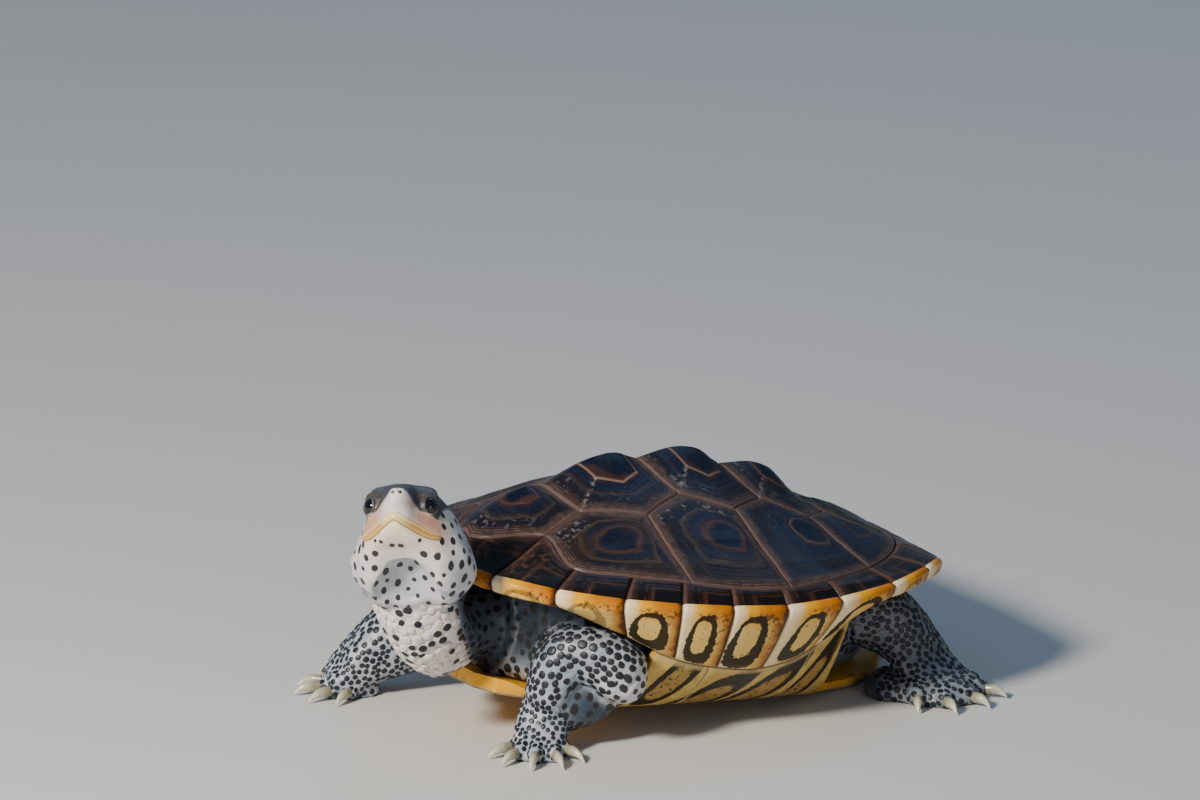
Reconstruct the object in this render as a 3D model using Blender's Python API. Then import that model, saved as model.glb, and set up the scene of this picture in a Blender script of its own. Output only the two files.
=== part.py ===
"""Diamondback terrapin, a life-size adult female, standing with its head raised and turned to its left.

Lengths are millimetres in the animal's own terms until the last step: f forward, l to its left, u up.
The level frame has its origin over the middle of the shell at the height of the shell's rim, and the
shell frame is the same one tilted by the pitch and roll of the stance. In the finished model the
animal faces -Y, its left is +X, and the floor is Z = 0.
"""

import math

import bmesh
import bpy
import numpy as np
from mathutils import Matrix, Vector

MM = 0.001

# Stance.
RIM_HEIGHT = 47.5
PITCH = math.radians(6.0)
ROLL = math.radians(-0.7)

# Shell.
SHELL_LENGTH = 180.0
HALF_LENGTH = SHELL_LENGTH / 2
HALF_WIDTH = 68.0
REAR_BROADENING = 0.055
OUTLINE_POWER = 2.25
# Heights along f of the rim and of the keel's line without its bosses.
RIM_LINE = ((-90.0, -6.0), (-86.0, -2.5), (-78.0, 2.4), (-66.0, 3.8), (-46.0, 1.8), (-23.0, -0.6), (-2.5, -2.2),
            (17.0, -2.0), (34.0, -1.4), (52.0, -0.7), (70.0, 0.2), (84.0, 1.3), (90.0, 2.7))
KEEL_LINE = ((-90.0, -5.0), (-82.0, 1.6), (-75.0, 4.9), (-68.0, 8.0), (-60.0, 11.0), (-50.0, 13.8), (-41.5, 17.2),
             (-28.0, 21.8), (-15.0, 25.5), (0.0, 28.2), (16.0, 28.5), (33.0, 26.0), (50.0, 21.3), (61.0, 16.8),
             (70.0, 12.8), (77.0, 9.6), (84.0, 6.2), (90.0, 3.4))
# How the shell falls from the keel to the rim: the share of the way out, and the share of the height left.
FALL = ((0.0, 1.0), (0.2, 0.87), (0.385, 0.725), (0.6, 0.5), (0.75, 0.345), (0.87, 0.22), (0.94, 0.13), (1.0, 0.0))
KEEL_HEIGHT = 0.8
KEEL_HALF_WIDTH = 5.0
PLATE = 2.6
SEAM = 0.17
EDGE_HEIGHT = 3.4
PLASTRON_DEPTH = 41.0
BRIDGE_START = 34.0
BRIDGE_POWER = 1.75

# Bosses of the keel: centre along f, height, reach forward, reach back.
BOSSES = ((60.0, 3.2, 14.0, 8.5), (28.0, 3.9, 17.0, 9.0), (-4.0, 4.1, 16.0, 8.0), (-33.0, 4.4, 15.0, 6.8))
BOSS_HALF_WIDTH = 9.5

# Marginal scutes: the arc share of the half nuchal and of marginals 1 to 12.
MARGINAL_SHARES = (0.25, 1.12, 1.05, 1.06, 0.9, 0.85, 0.94, 0.99, 1.13, 1.02, 0.98, 0.98, 0.98)
# Where their inner edge lies at the midline and at each seam, as a share of the way out to the rim.
MARGINAL_INNER = (0.87, 0.87, 0.725, 0.85, 0.86, 0.875, 0.905, 0.915, 0.895, 0.865, 0.84, 0.83, 0.84, 0.86)
# How far their underside reaches down and in at the same places.
UNDERSIDE_DROP = (4.5, 4.5, 5.0, 7.0, 13.0, 19.0, 21.5, 22.0, 18.0, 7.5, 5.5, 5.0, 5.0, 5.0)
UNDERSIDE_INSET = (11.0, 11.0, 12.0, 11.0, 10.0, 10.5, 11.0, 11.0, 10.5, 11.0, 12.0, 12.0, 12.0, 12.0)

# Corners of the vertebral and costal scutes on the left side, (f, l).
V12_KEEL, V12_SIDE = (50.5, 0.0), (45.5, 16.0)
V23_KEEL, V23_SIDE = (15.7, 0.0), (10.5, 18.0)
V34_KEEL, V34_SIDE = (-15.5, 0.0), (-21.5, 16.5)
V45_KEEL, V45_SIDE = (-47.5, 0.0), (-50.5, 10.5)
C12_KEEL_SIDE, C23_KEEL_SIDE, C34_KEEL_SIDE = (26.5, 25.5), (-6.0, 26.0), (-37.5, 22.0)
# Where the costal seams reach the marginals, in marginals counted from the front.
C12_MARGINAL, C23_MARGINAL, C34_MARGINAL, C4V5_MARGINAL = 4.2, 6.2, 8.12, 10.35

# Plastron: half width of the lobes along f, and the seams across it, midline f and edge f.
PLASTRON_FRONT, PLASTRON_REAR = 76.0, -79.0
LOBE_WIDTHS = ((76.0, 11.0), (72.0, 18.0), (62.0, 24.5), (50.0, 29.5), (36.0, 36.0),
               (-36.0, 35.0), (-46.0, 32.0), (-58.0, 29.0), (-70.0, 22.0), (-79.0, 11.0))
PLASTRON_SEAMS = ((63.0, 72.0), (47.0, 37.0), (18.0, 17.0), (-22.0, -20.0), (-48.0, -62.0))
BRIDGE_FRONT, BRIDGE_REAR = 36.0, -36.0

# Trunk inside the shell: half width along f, in the shell frame.
TRUNK_WIDTHS = ((-66.0, 15.0), (-60.0, 17.0), (-50.0, 20.0), (-45.0, 24.0), (-40.0, 33.0), (-34.0, 44.0),
                (0.0, 47.0), (26.0, 46.0), (33.0, 40.0), (38.0, 31.0), (46.0, 23.0), (56.0, 19.0), (63.0, 17.5))

# Neck, level frame: centre f, l, u, half width, reach to the back of the neck, reach to the throat.
NECK = ((67.6, 0.0, -11.0, 14.5, 11.5, 14.0), (80.0, 1.5, -11.5, 14.5, 11.5, 14.5),
        (89.5, 6.0, -10.5, 15.2, 10.5, 16.6), (96.5, 10.0, -4.0, 16.0, 9.5, 16.4),
        (100.3, 12.0, 5.0, 16.8, 10.0, 15.8))

# Head: the joint at its back, where it points and how it rolls, and its sections from the snout's tip backwards:
# distance, half width, top, bottom, and the height of the widest place.
HEAD_BACK = (101.7, 13.5, 13.5)
HEAD_YAW = math.radians(44.5)
HEAD_PITCH = math.radians(45.0)
HEAD_ROLL = math.radians(5.0)
HEAD_LENGTH = 42.0
HEAD_SECTIONS = ((0.0, 2.6, 4.2, -3.0, 0.5), (1.5, 4.2, 6.2, -4.0, 0.5), (5.0, 7.4, 8.4, -5.0, 1.0),
                 (9.0, 9.8, 10.0, -5.8, 1.0), (13.0, 12.0, 11.2, -6.4, 0.5), (16.8, 14.4, 11.9, -6.9, -0.5),
                 (17.0, 14.5, 11.9, -12.8, -1.0), (23.0, 17.6, 12.4, -14.2, -2.0), (30.0, 19.5, 12.4, -15.6, -3.0),
                 (37.0, 19.2, 11.4, -16.4, -3.0), (42.0, 17.6, 10.2, -16.2, -2.0))
JAW_SECTIONS = ((1.6, 2.4, -4.6, -6.6), (3.0, 4.4, -5.0, -8.4), (7.0, 7.6, -5.8, -10.6),
                (12.0, 10.4, -6.5, -11.9), (16.6, 12.6, -7.2, -12.5))
EYE_RADIUS = 4.0
EYE_PLACE = (12.3, 7.9, 5.0)
EYE_CLEARANCE = 0.35

# Limbs, left or right side given by the sign of l: centre f, l, u, half width across, half height.
FRONT_LEFT = ((44.5, 36.0, -24.0, 5.0, 5.5), (45.5, 42.0, -24.0, 7.0, 8.0), (47.5, 47.5, -22.0, 8.8, 9.8),
              (52.0, 44.5, -17.5, 8.6, 9.4), (57.5, 38.5, -16.5, 8.6, 9.2), (61.5, 34.8, -19.5, 9.2, 9.0),
              (64.5, 33.5, -27.0, 9.2, 8.2), (66.5, 33.0, -35.0, 9.2, 7.0), (70.0, 36.0, -40.5, 9.2, 4.8), (74.0, 40.5, -43.2, 7.5, 2.2))
FRONT_RIGHT = ((49.0, -31.0, -24.0, 8.0, 8.5), (57.0, -37.8, -23.6, 9.8, 11.2), (66.0, -43.2, -26.3, 10.4, 13.8),
               (75.0, -46.5, -30.5, 10.3, 12.5), (83.0, -49.5, -35.0, 10.0, 9.4), (88.5, -51.3, -39.2, 9.6, 6.4),
               (92.0, -52.0, -41.6, 9.2, 4.6), (96.0, -53.2, -43.2, 7.5, 2.4))
HIND_LEFT = ((-47.0, 31.0, -22.0, 9.0, 9.0), (-55.0, 33.0, -22.0, 11.5, 11.5), (-62.0, 35.0, -26.0, 11.5, 11.0),
             (-67.5, 38.5, -32.5, 11.0, 9.0), (-69.5, 44.0, -38.8, 12.0, 6.0), (-71.0, 52.0, -42.2, 12.0, 3.0))
HIND_RIGHT = ((-47.0, -31.0, -22.0, 9.0, 9.0), (-56.0, -33.5, -22.0, 11.5, 11.5), (-64.0, -36.0, -26.0, 11.5, 11.0),
              (-70.5, -39.5, -32.5, 11.0, 9.0), (-74.0, -44.0, -38.8, 12.0, 6.0), (-78.0, -51.0, -42.2, 12.0, 3.0))

# Feet: heel f and l, heading in degrees left of forward, length, half width, and its toes'
# places across the front edge in degrees; the clawed ones come first.
PAWS = {
    "front_left": ((68.0, 33.5), 50.0, 17.0, 11.0, (-50, -25, 0, 25, 50), 5),
    "front_right": ((84.0, -49.0), -20.0, 16.5, 11.0, (-50, -25, 0, 25, 50), 5),
    "hind_left": ((-67.5, 41.5), 105.0, 26.0, 18.0, (-46, -23, 0, 23, 46), 4),
    "hind_right": ((-71.0, -41.5), -118.0, 26.0, 18.0, (46, 23, 0, -23, -46), 4),
}
PAW_THICKNESS = 6.5
CLAW_LENGTH = {"front": 8.5, "hind": 8.0}
CLAW_RADIUS = 1.5
CLAW_GAP = 0.6

TAIL = ((-67.5, 0.0, -27.0, 6.5), (-76.0, -2.0, -31.0, 5.2), (-84.0, -5.5, -36.0, 3.6), (-90.0, -10.0, -40.0, 1.6))


def spline(stations, x):
    """Smooth interpolation through (x, value) pairs, with x rising."""
    xs = [s[0] for s in stations]
    if x <= xs[0]:
        return stations[0][1]
    if x >= xs[-1]:
        return stations[-1][1]
    i = max(j for j in range(len(xs) - 1) if xs[j] <= x)
    share = (x - xs[i]) / (xs[i + 1] - xs[i])
    values = [stations[min(max(j, 0), len(xs) - 1)][1] for j in (i - 1, i, i + 1, i + 2)]
    a, b, c, d = values
    return b + 0.5 * share * (
        c - a + share * (2 * a - 5 * b + 4 * c - d + share * (3 * (b - c) + d - a))
    )


def smoothstep(low, high, x):
    share = min(max((x - low) / (high - low), 0.0), 1.0)
    return share * share * (3 - 2 * share)


def level(f, l, u):
    """A point of the level frame, in metres in the finished model."""
    return Vector((l, -f, u + RIM_HEIGHT)) * MM


def tilted(f, l, u):
    """A point of the shell frame, given in the level frame."""
    f, u = f * math.cos(PITCH) - u * math.sin(PITCH), u * math.cos(PITCH) + f * math.sin(PITCH)
    l, u = l * math.cos(ROLL) - u * math.sin(ROLL), u * math.cos(ROLL) + l * math.sin(ROLL)
    return Vector((f, l, u))


def shell_point(f, l, u):
    """A point of the tilted shell frame, in metres in the finished model."""
    return level(*tilted(f, l, u))


# ---------------------------------------------------------------- the shell as surfaces


def side_width(f):
    return HALF_WIDTH * (1 - REAR_BROADENING * f / HALF_LENGTH)


def rim(t):
    """The shell's outline in plan, t from 0 at the front to pi at the rear; a negative t is the right side."""
    c, s = math.cos(t), math.sin(t)
    f = HALF_LENGTH * math.copysign(abs(c) ** (2 / OUTLINE_POWER), c)
    return f, side_width(f) * math.copysign(abs(s) ** (2 / OUTLINE_POWER), s)


def rim_height(f):
    """The rim turns up behind the bridges and dips at the tail."""
    return spline(RIM_LINE, f)


def boss_height(f, l):
    rise = 0.0
    for centre, height, ahead, behind in BOSSES:
        reach = ahead if f > centre else behind
        rise += height * math.exp(-((abs(f - centre) / reach) ** 2.4))
    return rise * math.exp(-((abs(l) / BOSS_HALF_WIDTH) ** 2))


def carapace(f, l):
    """Height of the carapace's outer surface."""
    along = min(abs(f) / HALF_LENGTH, 1.0)
    half = side_width(f) * (1 - along**OUTLINE_POWER) ** (1 / OUTLINE_POWER)
    out = min(abs(l) / half, 1.0) if half > 0 else 1.0
    edge = rim_height(f)
    keel = KEEL_HEIGHT * math.exp(-abs(l) / KEEL_HALF_WIDTH) * (1 - along**3)
    return edge + (spline(KEEL_LINE, f) - edge) * spline(FALL, out) + keel + boss_height(f, l)


def seam_angles():
    """The rim angle at the front midline, at the nuchal's edge, at each marginal seam and at the rear midline."""
    angles = np.linspace(0, math.pi, 721)
    points = np.array([rim(t) for t in angles])
    arc = np.concatenate([[0], np.cumsum(np.hypot(*np.diff(points, axis=0).T))])
    ends = np.cumsum(MARGINAL_SHARES) / sum(MARGINAL_SHARES) * arc[-1]
    return [0.0, *np.interp(ends, arc, angles)]


SEAM_ANGLES = seam_angles()


def along_marginals(values, t):
    return spline(list(zip(SEAM_ANGLES, values)), abs(t))


def marginal_angle(count):
    """The rim angle at a place counted in marginals from the front seam of marginal 1, so 4.2 is in the fifth."""
    return float(np.interp(count, range(len(SEAM_ANGLES) - 1), SEAM_ANGLES[1:]))


def inner_line(t):
    """The seam between the marginals and the scutes inside them, in plan."""
    f, l = rim(t)
    share = along_marginals(MARGINAL_INNER, t)
    return f * share, l * share


def underside_end(t):
    """Where a marginal's underside ends: f, l and u."""
    f, l = rim(t)
    out = math.hypot(f, l)
    share = 1 - along_marginals(UNDERSIDE_INSET, t) / out
    return f * share, l * share, rim_height(f) - along_marginals(UNDERSIDE_DROP, t)


def lobe_width(f):
    return spline(sorted(LOBE_WIDTHS), f)


def bridge_width(f):
    """Half width of the plastron's plates where the bridge carries them out to the marginals."""
    angles = np.linspace(0.3, 2.6, 60)
    ends = np.array([underside_end(t) for t in angles])
    return float(np.interp(-f, -ends[:, 0], ends[:, 1])), float(np.interp(-f, -ends[:, 0], ends[:, 2]))


def plastron(f, l):
    """Height of the plastron's outer surface, with its bridges curving up to the marginals."""
    base = -PLASTRON_DEPTH + 2.0 * smoothstep(45, 82, f) + 2.5 * smoothstep(-50, -80, f)
    out, end_height = bridge_width(min(max(f, BRIDGE_REAR), BRIDGE_FRONT))
    rise = end_height + PLASTRON_DEPTH - 0.4
    share = min(max((abs(l) - BRIDGE_START) / (out - BRIDGE_START), 0.0), 1.0)
    return base + rise * share**BRIDGE_POWER


# ---------------------------------------------------------------- mesh helpers


def new_object(name, verts, faces, material, smooth_angle=50):
    mesh = bpy.data.meshes.new(name)
    mesh.from_pydata([tuple(v) for v in verts], [], faces)
    shaped = bmesh.new()
    shaped.from_mesh(mesh)
    bmesh.ops.recalc_face_normals(shaped, faces=shaped.faces)
    shaped.to_mesh(mesh)
    shaped.free()
    obj = bpy.data.objects.new(name, mesh)
    bpy.context.scene.collection.objects.link(obj)
    mesh.materials.append(material)
    mesh.shade_smooth()
    mesh.set_sharp_from_angle(angle=math.radians(smooth_angle))
    return obj


def material(name, colour, roughness, metallic=0.0):
    made = bpy.data.materials.new(name)
    made.use_nodes = True
    shader = made.node_tree.nodes["Principled BSDF"]
    shader.inputs["Base Color"].default_value = (*colour, 1)
    shader.inputs["Roughness"].default_value = roughness
    shader.inputs["Metallic"].default_value = metallic
    made.diffuse_color = (*colour, 1)
    return made


def dense(points, step):
    """A closed outline with points no further apart than step."""
    found = []
    for start, end in zip(points, points[1:] + points[:1]):
        a, b = Vector(start), Vector(end)
        count = max(1, math.ceil((b - a).length / step))
        found += [tuple(a.lerp(b, i / count)) for i in range(count)]
    return found


def normal_of(height, f, l, step=0.4):
    """Upward unit normal of a height surface, as (f, l, u)."""
    across_f = (height(f + step, l) - height(f - step, l)) / (2 * step)
    across_l = (height(f, l + step) - height(f, l - step)) / (2 * step)
    return Vector((-across_f, -across_l, 1)).normalized()


def plate(name, outline, height, thickness, rings, made_of, step=7.0, gap=SEAM):
    """A scute: its outline in plan laid on a height surface, thickened inwards.

    A negative thickness puts the plate above its surface, as on the plastron."""
    outline = dense(outline, step)
    middle = sum((Vector(p) for p in outline), Vector((0, 0))) / len(outline)
    verts, faces = [], []
    count = len(outline)

    def add(point, inner):
        f, l = point
        u = height(f, l)
        if inner:
            f, l, u = Vector((f, l, u)) - normal_of(height, f, l) * thickness
        verts.append(shell_point(f, l, u))

    for inner in (False, True):
        add(middle, inner)
        for ring in range(1, rings + 1):
            for point in outline:
                away = Vector(point) - middle
                away *= (1 - gap / away.length) * ring / rings
                add(middle + away, inner)
    second = 1 + rings * count
    for i in range(count):
        j = (i + 1) % count
        faces.append((0, 1 + i, 1 + j))
        faces.append((second, second + 1 + j, second + 1 + i))
        for start in (0, second):
            for ring in range(1, rings):
                a, b = start + 1 + (ring - 1) * count, start + 1 + ring * count
                faces.append((a + i, b + i, b + j, a + j))
        edge_out, edge_in = 1 + (rings - 1) * count, second + 1 + (rings - 1) * count
        faces.append((edge_out + i, edge_in + i, edge_in + j, edge_out + j))
    return new_object(name, verts, faces, made_of)


def mirrored(points):
    return [(f, -l) for f, l in points]


def symmetric(points):
    """A closed outline from its left half, which starts and ends on the midline."""
    return points + mirrored(points[1:-1])[::-1]


def inner_stretch(start, end, count):
    return [inner_line(t) for t in np.linspace(start, end, count)]


# ---------------------------------------------------------------- carapace


def vertebral_outlines():
    front_corner, rear_corner = marginal_angle(1.0), marginal_angle(C4V5_MARGINAL)
    rear_mid = inner_line(math.pi)
    return [
        symmetric([*inner_stretch(0, front_corner, 5), V12_SIDE, V12_KEEL]),
        symmetric([V12_KEEL, V12_SIDE, C12_KEEL_SIDE, V23_SIDE, V23_KEEL]),
        symmetric([V23_KEEL, V23_SIDE, C23_KEEL_SIDE, V34_SIDE, V34_KEEL]),
        symmetric([V34_KEEL, V34_SIDE, C34_KEEL_SIDE, V45_SIDE, V45_KEEL]),
        symmetric([V45_KEEL, V45_SIDE, *inner_stretch(rear_corner, math.pi, 5)[:-1], rear_mid]),
    ]


def costal_outlines():
    angles = [marginal_angle(m) for m in (1.0, C12_MARGINAL, C23_MARGINAL, C34_MARGINAL, C4V5_MARGINAL)]
    inner_edges = [
        [C12_KEEL_SIDE, V12_SIDE],
        [C23_KEEL_SIDE, V23_SIDE, C12_KEEL_SIDE],
        [C34_KEEL_SIDE, V34_SIDE, C23_KEEL_SIDE],
        [V45_SIDE, C34_KEEL_SIDE],
    ]
    return [inner_stretch(a, b, 6) + inner for a, b, inner in zip(angles, angles[1:], inner_edges)]


def marginal_section(t):
    """The wedge of a marginal scute at one rim angle, as (f, l, u) from the inner seam round by the rim."""
    f, l = rim(t)
    top = rim_height(f)
    drop = along_marginals(UNDERSIDE_DROP, t)
    end = Vector(underside_end(t))
    inner_share = along_marginals(MARGINAL_INNER, t) + SEAM / math.hypot(f, l) * 3.2

    def surface(share, depth=0.0):
        return Vector((f * share, l * share, carapace(f * share, l * share) - depth))

    low_edge = Vector((f * 0.992, l * 0.992, top - min(EDGE_HEIGHT, drop * 0.7)))
    return [
        surface(inner_share),
        surface((inner_share + 0.985) / 2),
        Vector((f * 0.985, l * 0.985, top + 0.25)),
        Vector((f, l, top - 0.9)),
        low_edge,
        low_edge.lerp(end, 0.5) + Vector((f, l, 0)).normalized() * 0.8,
        end,
        surface(inner_share, PLATE),
    ]


def swept(name, angles, groove_angles, made_of):
    """A run of marginals, closed at both ends, with a shallow groove at each seam."""
    verts, faces = [], []
    sections = []
    for t in angles:
        section = marginal_section(t)
        if any(abs(t - g) < 1e-6 for g in groove_angles):
            middle = sum(section, Vector()) / len(section)
            section = [middle.lerp(p, 0.94) if i in (1, 2, 3, 4, 5) else p for i, p in enumerate(section)]
        sections.append(section)
    width = len(sections[0])
    for section in sections:
        verts += [shell_point(*p) for p in section]
    for i in range(len(sections) - 1):
        for j in range(width):
            a, b = i * width + j, i * width + (j + 1) % width
            faces.append((a, a + width, b + width, b))
    faces.append(tuple(range(width))[::-1])
    faces.append(tuple(range((len(sections) - 1) * width, len(sections) * width)))
    return new_object(name, verts, faces, made_of)


def marginal_run(side, made_of):
    """One side's twelve marginals, from the nuchal to the rear midline."""
    clear = SEAM / HALF_WIDTH
    seams = SEAM_ANGLES[1:]
    angles = [seams[0] + clear]
    for start, end in zip(seams, seams[1:]):
        angles += [start + (end - start) * share for share in (0.15, 0.5, 0.85)] + [end]
    angles[-1] -= clear
    sign = 1 if side == "left" else -1
    return swept(f"marginals_{side}", [sign * t for t in angles], [sign * t for t in seams[1:-1]], made_of)


def build_carapace(horn):
    for i, outline in enumerate(vertebral_outlines()):
        plate(f"vertebral_{i + 1}", outline, carapace, PLATE, 3, horn, step=9)
    for i, outline in enumerate(costal_outlines()):
        plate(f"costal_left_{i + 1}", outline, carapace, PLATE, 2, horn, step=8)
        plate(f"costal_right_{i + 1}", mirrored(outline), carapace, PLATE, 2, horn, step=8)
    reach = SEAM_ANGLES[1] - SEAM / HALF_WIDTH
    swept("nuchal", np.linspace(-reach, reach, 5), [], horn)
    for side in ("left", "right"):
        marginal_run(side, horn)


# ---------------------------------------------------------------- plastron


def plastron_edge(f):
    """Half width of the plastral plates: the lobe's, or out to the marginals on the bridge."""
    if BRIDGE_REAR < f < BRIDGE_FRONT:
        return bridge_width(f)[0] - 2 * SEAM
    return lobe_width(f)


def plastron_outline(i):
    """Left scute i of the plastron, from gular to anal."""
    mids = [PLASTRON_FRONT, *[s[0] for s in PLASTRON_SEAMS], PLASTRON_REAR]
    edges = [PLASTRON_FRONT, *[s[1] for s in PLASTRON_SEAMS], PLASTRON_REAR]
    front, rear = edges[i], edges[i + 1]
    stops = [x for x in (BRIDGE_FRONT, BRIDGE_FRONT - 0.01, BRIDGE_REAR + 0.01, BRIDGE_REAR) if rear < x < front]
    count = max(2, round((front - rear) / 7))
    stations = sorted({*np.linspace(front, rear, count), *stops}, reverse=True)
    outline = [(mids[i], SEAM)] + [(float(f), plastron_edge(float(f))) for f in stations]
    return outline + [(mids[i + 1], SEAM)]


def build_plastron(horn):
    rings = {"pectoral": 2, "abdominal": 2, "femoral": 2}
    for i, name in enumerate(("gular", "humeral", "pectoral", "abdominal", "femoral", "anal")):
        outline = plastron_outline(i)
        for side, points in (("left", outline), ("right", mirrored(outline))):
            plate(f"{name}_{side}", points, plastron, -PLATE, rings.get(name, 1), horn, step=10)


# ---------------------------------------------------------------- trunk, neck and tail


def trunk_width(f):
    return spline(TRUNK_WIDTHS, f)


def trunk_section(f, count=8):
    """Points round the trunk at one f: along the top from left to right, then back along the bottom."""
    half = trunk_width(f)
    top, bottom = [], []
    for share in np.cos(np.linspace(0, math.pi, count)):
        l = half * share
        over, under = (PLATE + 1.4) / normal_of(carapace, f, l, 1.5).z, (PLATE + 2.2) / normal_of(plastron, f, l, 1.5).z
        top.append((f, l, carapace(f, l) - over))
        bottom.append((f, l, plastron(f, l) + under))
    return top + bottom[::-1]


def loft(name, sections, made_of, smooth_angle=60):
    """A closed solid through rings of points given in the finished model's frame."""
    width = len(sections[0])
    verts = [p for section in sections for p in section]
    faces = [tuple(range(width))[::-1], tuple(range((len(sections) - 1) * width, len(sections) * width))]
    for i in range(len(sections) - 1):
        for j in range(width):
            a, b = i * width + j, i * width + (j + 1) % width
            faces.append((a, a + width, b + width, b))
    return new_object(name, verts, faces, made_of, smooth_angle)


def build_trunk(skin):
    stations = [s[0] for s in TRUNK_WIDTHS] + [-25.0, -12.0, 12.0, 24.0]
    sections = [[shell_point(*p) for p in trunk_section(f)] for f in sorted(stations)]
    loft("trunk", sections, skin)


def path_frames(centres):
    """The direction of travel, the left side and the upper side at each point of a path."""
    frames = []
    for i in range(len(centres)):
        ahead = Vector(centres[min(i + 1, len(centres) - 1)])
        behind = Vector(centres[max(i - 1, 0)])
        forward = (ahead - behind).normalized()
        left = Vector((0, 0, 1)).cross(forward).normalized()
        frames.append((forward, left, forward.cross(left)))
    return frames


def head_axes():
    """The head's forward, left and up directions in the level frame."""
    across = math.cos(HEAD_PITCH)
    forward = Vector((across * math.cos(HEAD_YAW), across * math.sin(HEAD_YAW), math.sin(HEAD_PITCH)))
    level_left = Vector((-math.sin(HEAD_YAW), math.cos(HEAD_YAW), 0))
    left = level_left * math.cos(HEAD_ROLL) + forward.cross(level_left) * math.sin(HEAD_ROLL)
    return forward, left, forward.cross(left)


def head_point(back, left, up):
    """A point of the head in the level frame: distance back from the snout's tip, to the left, and up."""
    forward, leftward, upward = head_axes()
    return Vector(HEAD_BACK) + forward * (HEAD_LENGTH - back) + leftward * left + upward * up


def ring_angles(count):
    return [2 * math.pi * i / count for i in range(count)]


def head_ring(back, half_width, top, bottom, middle, count=20):
    points = []
    for angle in ring_angles(count):
        across = half_width * math.copysign(abs(math.cos(angle)) ** 0.85, math.cos(angle))
        rise = top - middle if math.sin(angle) > 0 else middle - bottom
        height = middle + rise * math.copysign(abs(math.sin(angle)) ** 0.85, math.sin(angle))
        points.append(level(*head_point(back, across, height)))
    return points


def build_neck(skin, count=20):
    centres = [s[:3] for s in NECK]
    sections = []
    for station, (forward, left, up) in zip(NECK, path_frames(centres)):
        ring = []
        for angle in ring_angles(count):
            reach = station[4] if math.sin(angle) > 0 else station[5]
            offset = left * (station[3] * math.cos(angle)) + up * (reach * math.sin(angle))
            ring.append(level(*(Vector(station[:3]) + offset)))
        sections.append(ring)
    sections.append(head_ring(HEAD_LENGTH + 0.4, *HEAD_SECTIONS[-1][1:]))
    loft("neck", sections, skin)


def build_tail(skin, count=12):
    centres = [s[:3] for s in TAIL]
    sections = []
    for station, (forward, left, up) in zip(TAIL, path_frames(centres)):
        spokes = [left * math.cos(angle) + up * math.sin(angle) for angle in ring_angles(count)]
        sections.append([level(*(Vector(station[:3]) + spoke * station[3])) for spoke in spokes])
    loft("tail", sections, skin)


# ---------------------------------------------------------------- head


def ball(name, centre, radius, made_of, across=16, high=9):
    """A sphere round a point of the level frame."""
    verts = [level(*(Vector(centre) + Vector((0, 0, radius))))]
    for i in range(1, high):
        polar = math.pi * i / high
        for angle in ring_angles(across):
            spoke = Vector((math.sin(polar) * math.cos(angle), math.sin(polar) * math.sin(angle), math.cos(polar)))
            verts.append(level(*(Vector(centre) + spoke * radius)))
    verts.append(level(*(Vector(centre) - Vector((0, 0, radius)))))
    last = len(verts) - 1
    faces = []
    for j in range(across):
        k = (j + 1) % across
        faces.append((0, 1 + j, 1 + k))
        for i in range(high - 2):
            a, b = 1 + i * across, 1 + (i + 1) * across
            faces.append((a + j, b + j, b + k, a + k))
        start = 1 + (high - 2) * across
        faces.append((start + j, last, start + k))
    return new_object(name, verts, faces, made_of, 180)


def combine(obj, other, operation):
    """Adds or takes away another closed shape, which is then only a helper."""
    modifier = obj.modifiers.new(other.name, "BOOLEAN")
    modifier.operation = operation
    modifier.solver = "EXACT"
    modifier.object = other
    other.hide_render = True
    other.display_type = "WIRE"


def build_head(skin, horn, eye_material):
    head = loft("head", [head_ring(*section) for section in HEAD_SECTIONS], skin)
    jaw_rings = [head_ring(back, wide, top, bottom, top - 1.2) for back, wide, top, bottom in JAW_SECTIONS]
    loft("lower_jaw", jaw_rings, horn)
    back, out, up = EYE_PLACE
    for side, sign in (("left", 1), ("right", -1)):
        centre = head_point(back, sign * out, up)
        ball(f"eye_{side}", centre, EYE_RADIUS, eye_material)
        combine(head, ball(f"socket_{side}", centre, EYE_RADIUS + EYE_CLEARANCE, skin), "DIFFERENCE")


# ---------------------------------------------------------------- limbs


def limb_tube(name, stations, skin, count=12):
    """The limb from the shell to the foot, flat where it would go under the floor."""
    centres = [s[:3] for s in stations]
    sections = []
    for station, (forward, left, up) in zip(stations, path_frames(centres)):
        ring = []
        for angle in ring_angles(count):
            offset = left * (station[3] * math.cos(angle)) + up * (station[4] * math.sin(angle))
            point = Vector(station[:3]) + offset
            point.z = max(point.z, -RIM_HEIGHT + 1.0)
            ring.append(level(*point))
        sections.append(ring)
    return loft(name, sections, skin)


def paw_reach(angle, toes, length, half_width):
    """How far the foot's outline lies from its heel, at an angle from its heading."""
    side = half_width / max(abs(math.sin(angle)), 1e-6)
    front = length / max(math.cos(angle), 1e-6) ** 0.25 if math.cos(angle) > 0 else 1e6
    oval = 1 / ((1 / side) ** 3 + (1 / front) ** 3) ** (1 / 3)
    nearest = min(abs(angle - math.radians(t)) for t in toes)
    return oval - 1.6 * smoothstep(0.0, math.radians(12), nearest) * smoothstep(-0.2, 0.6, math.cos(angle))


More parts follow.
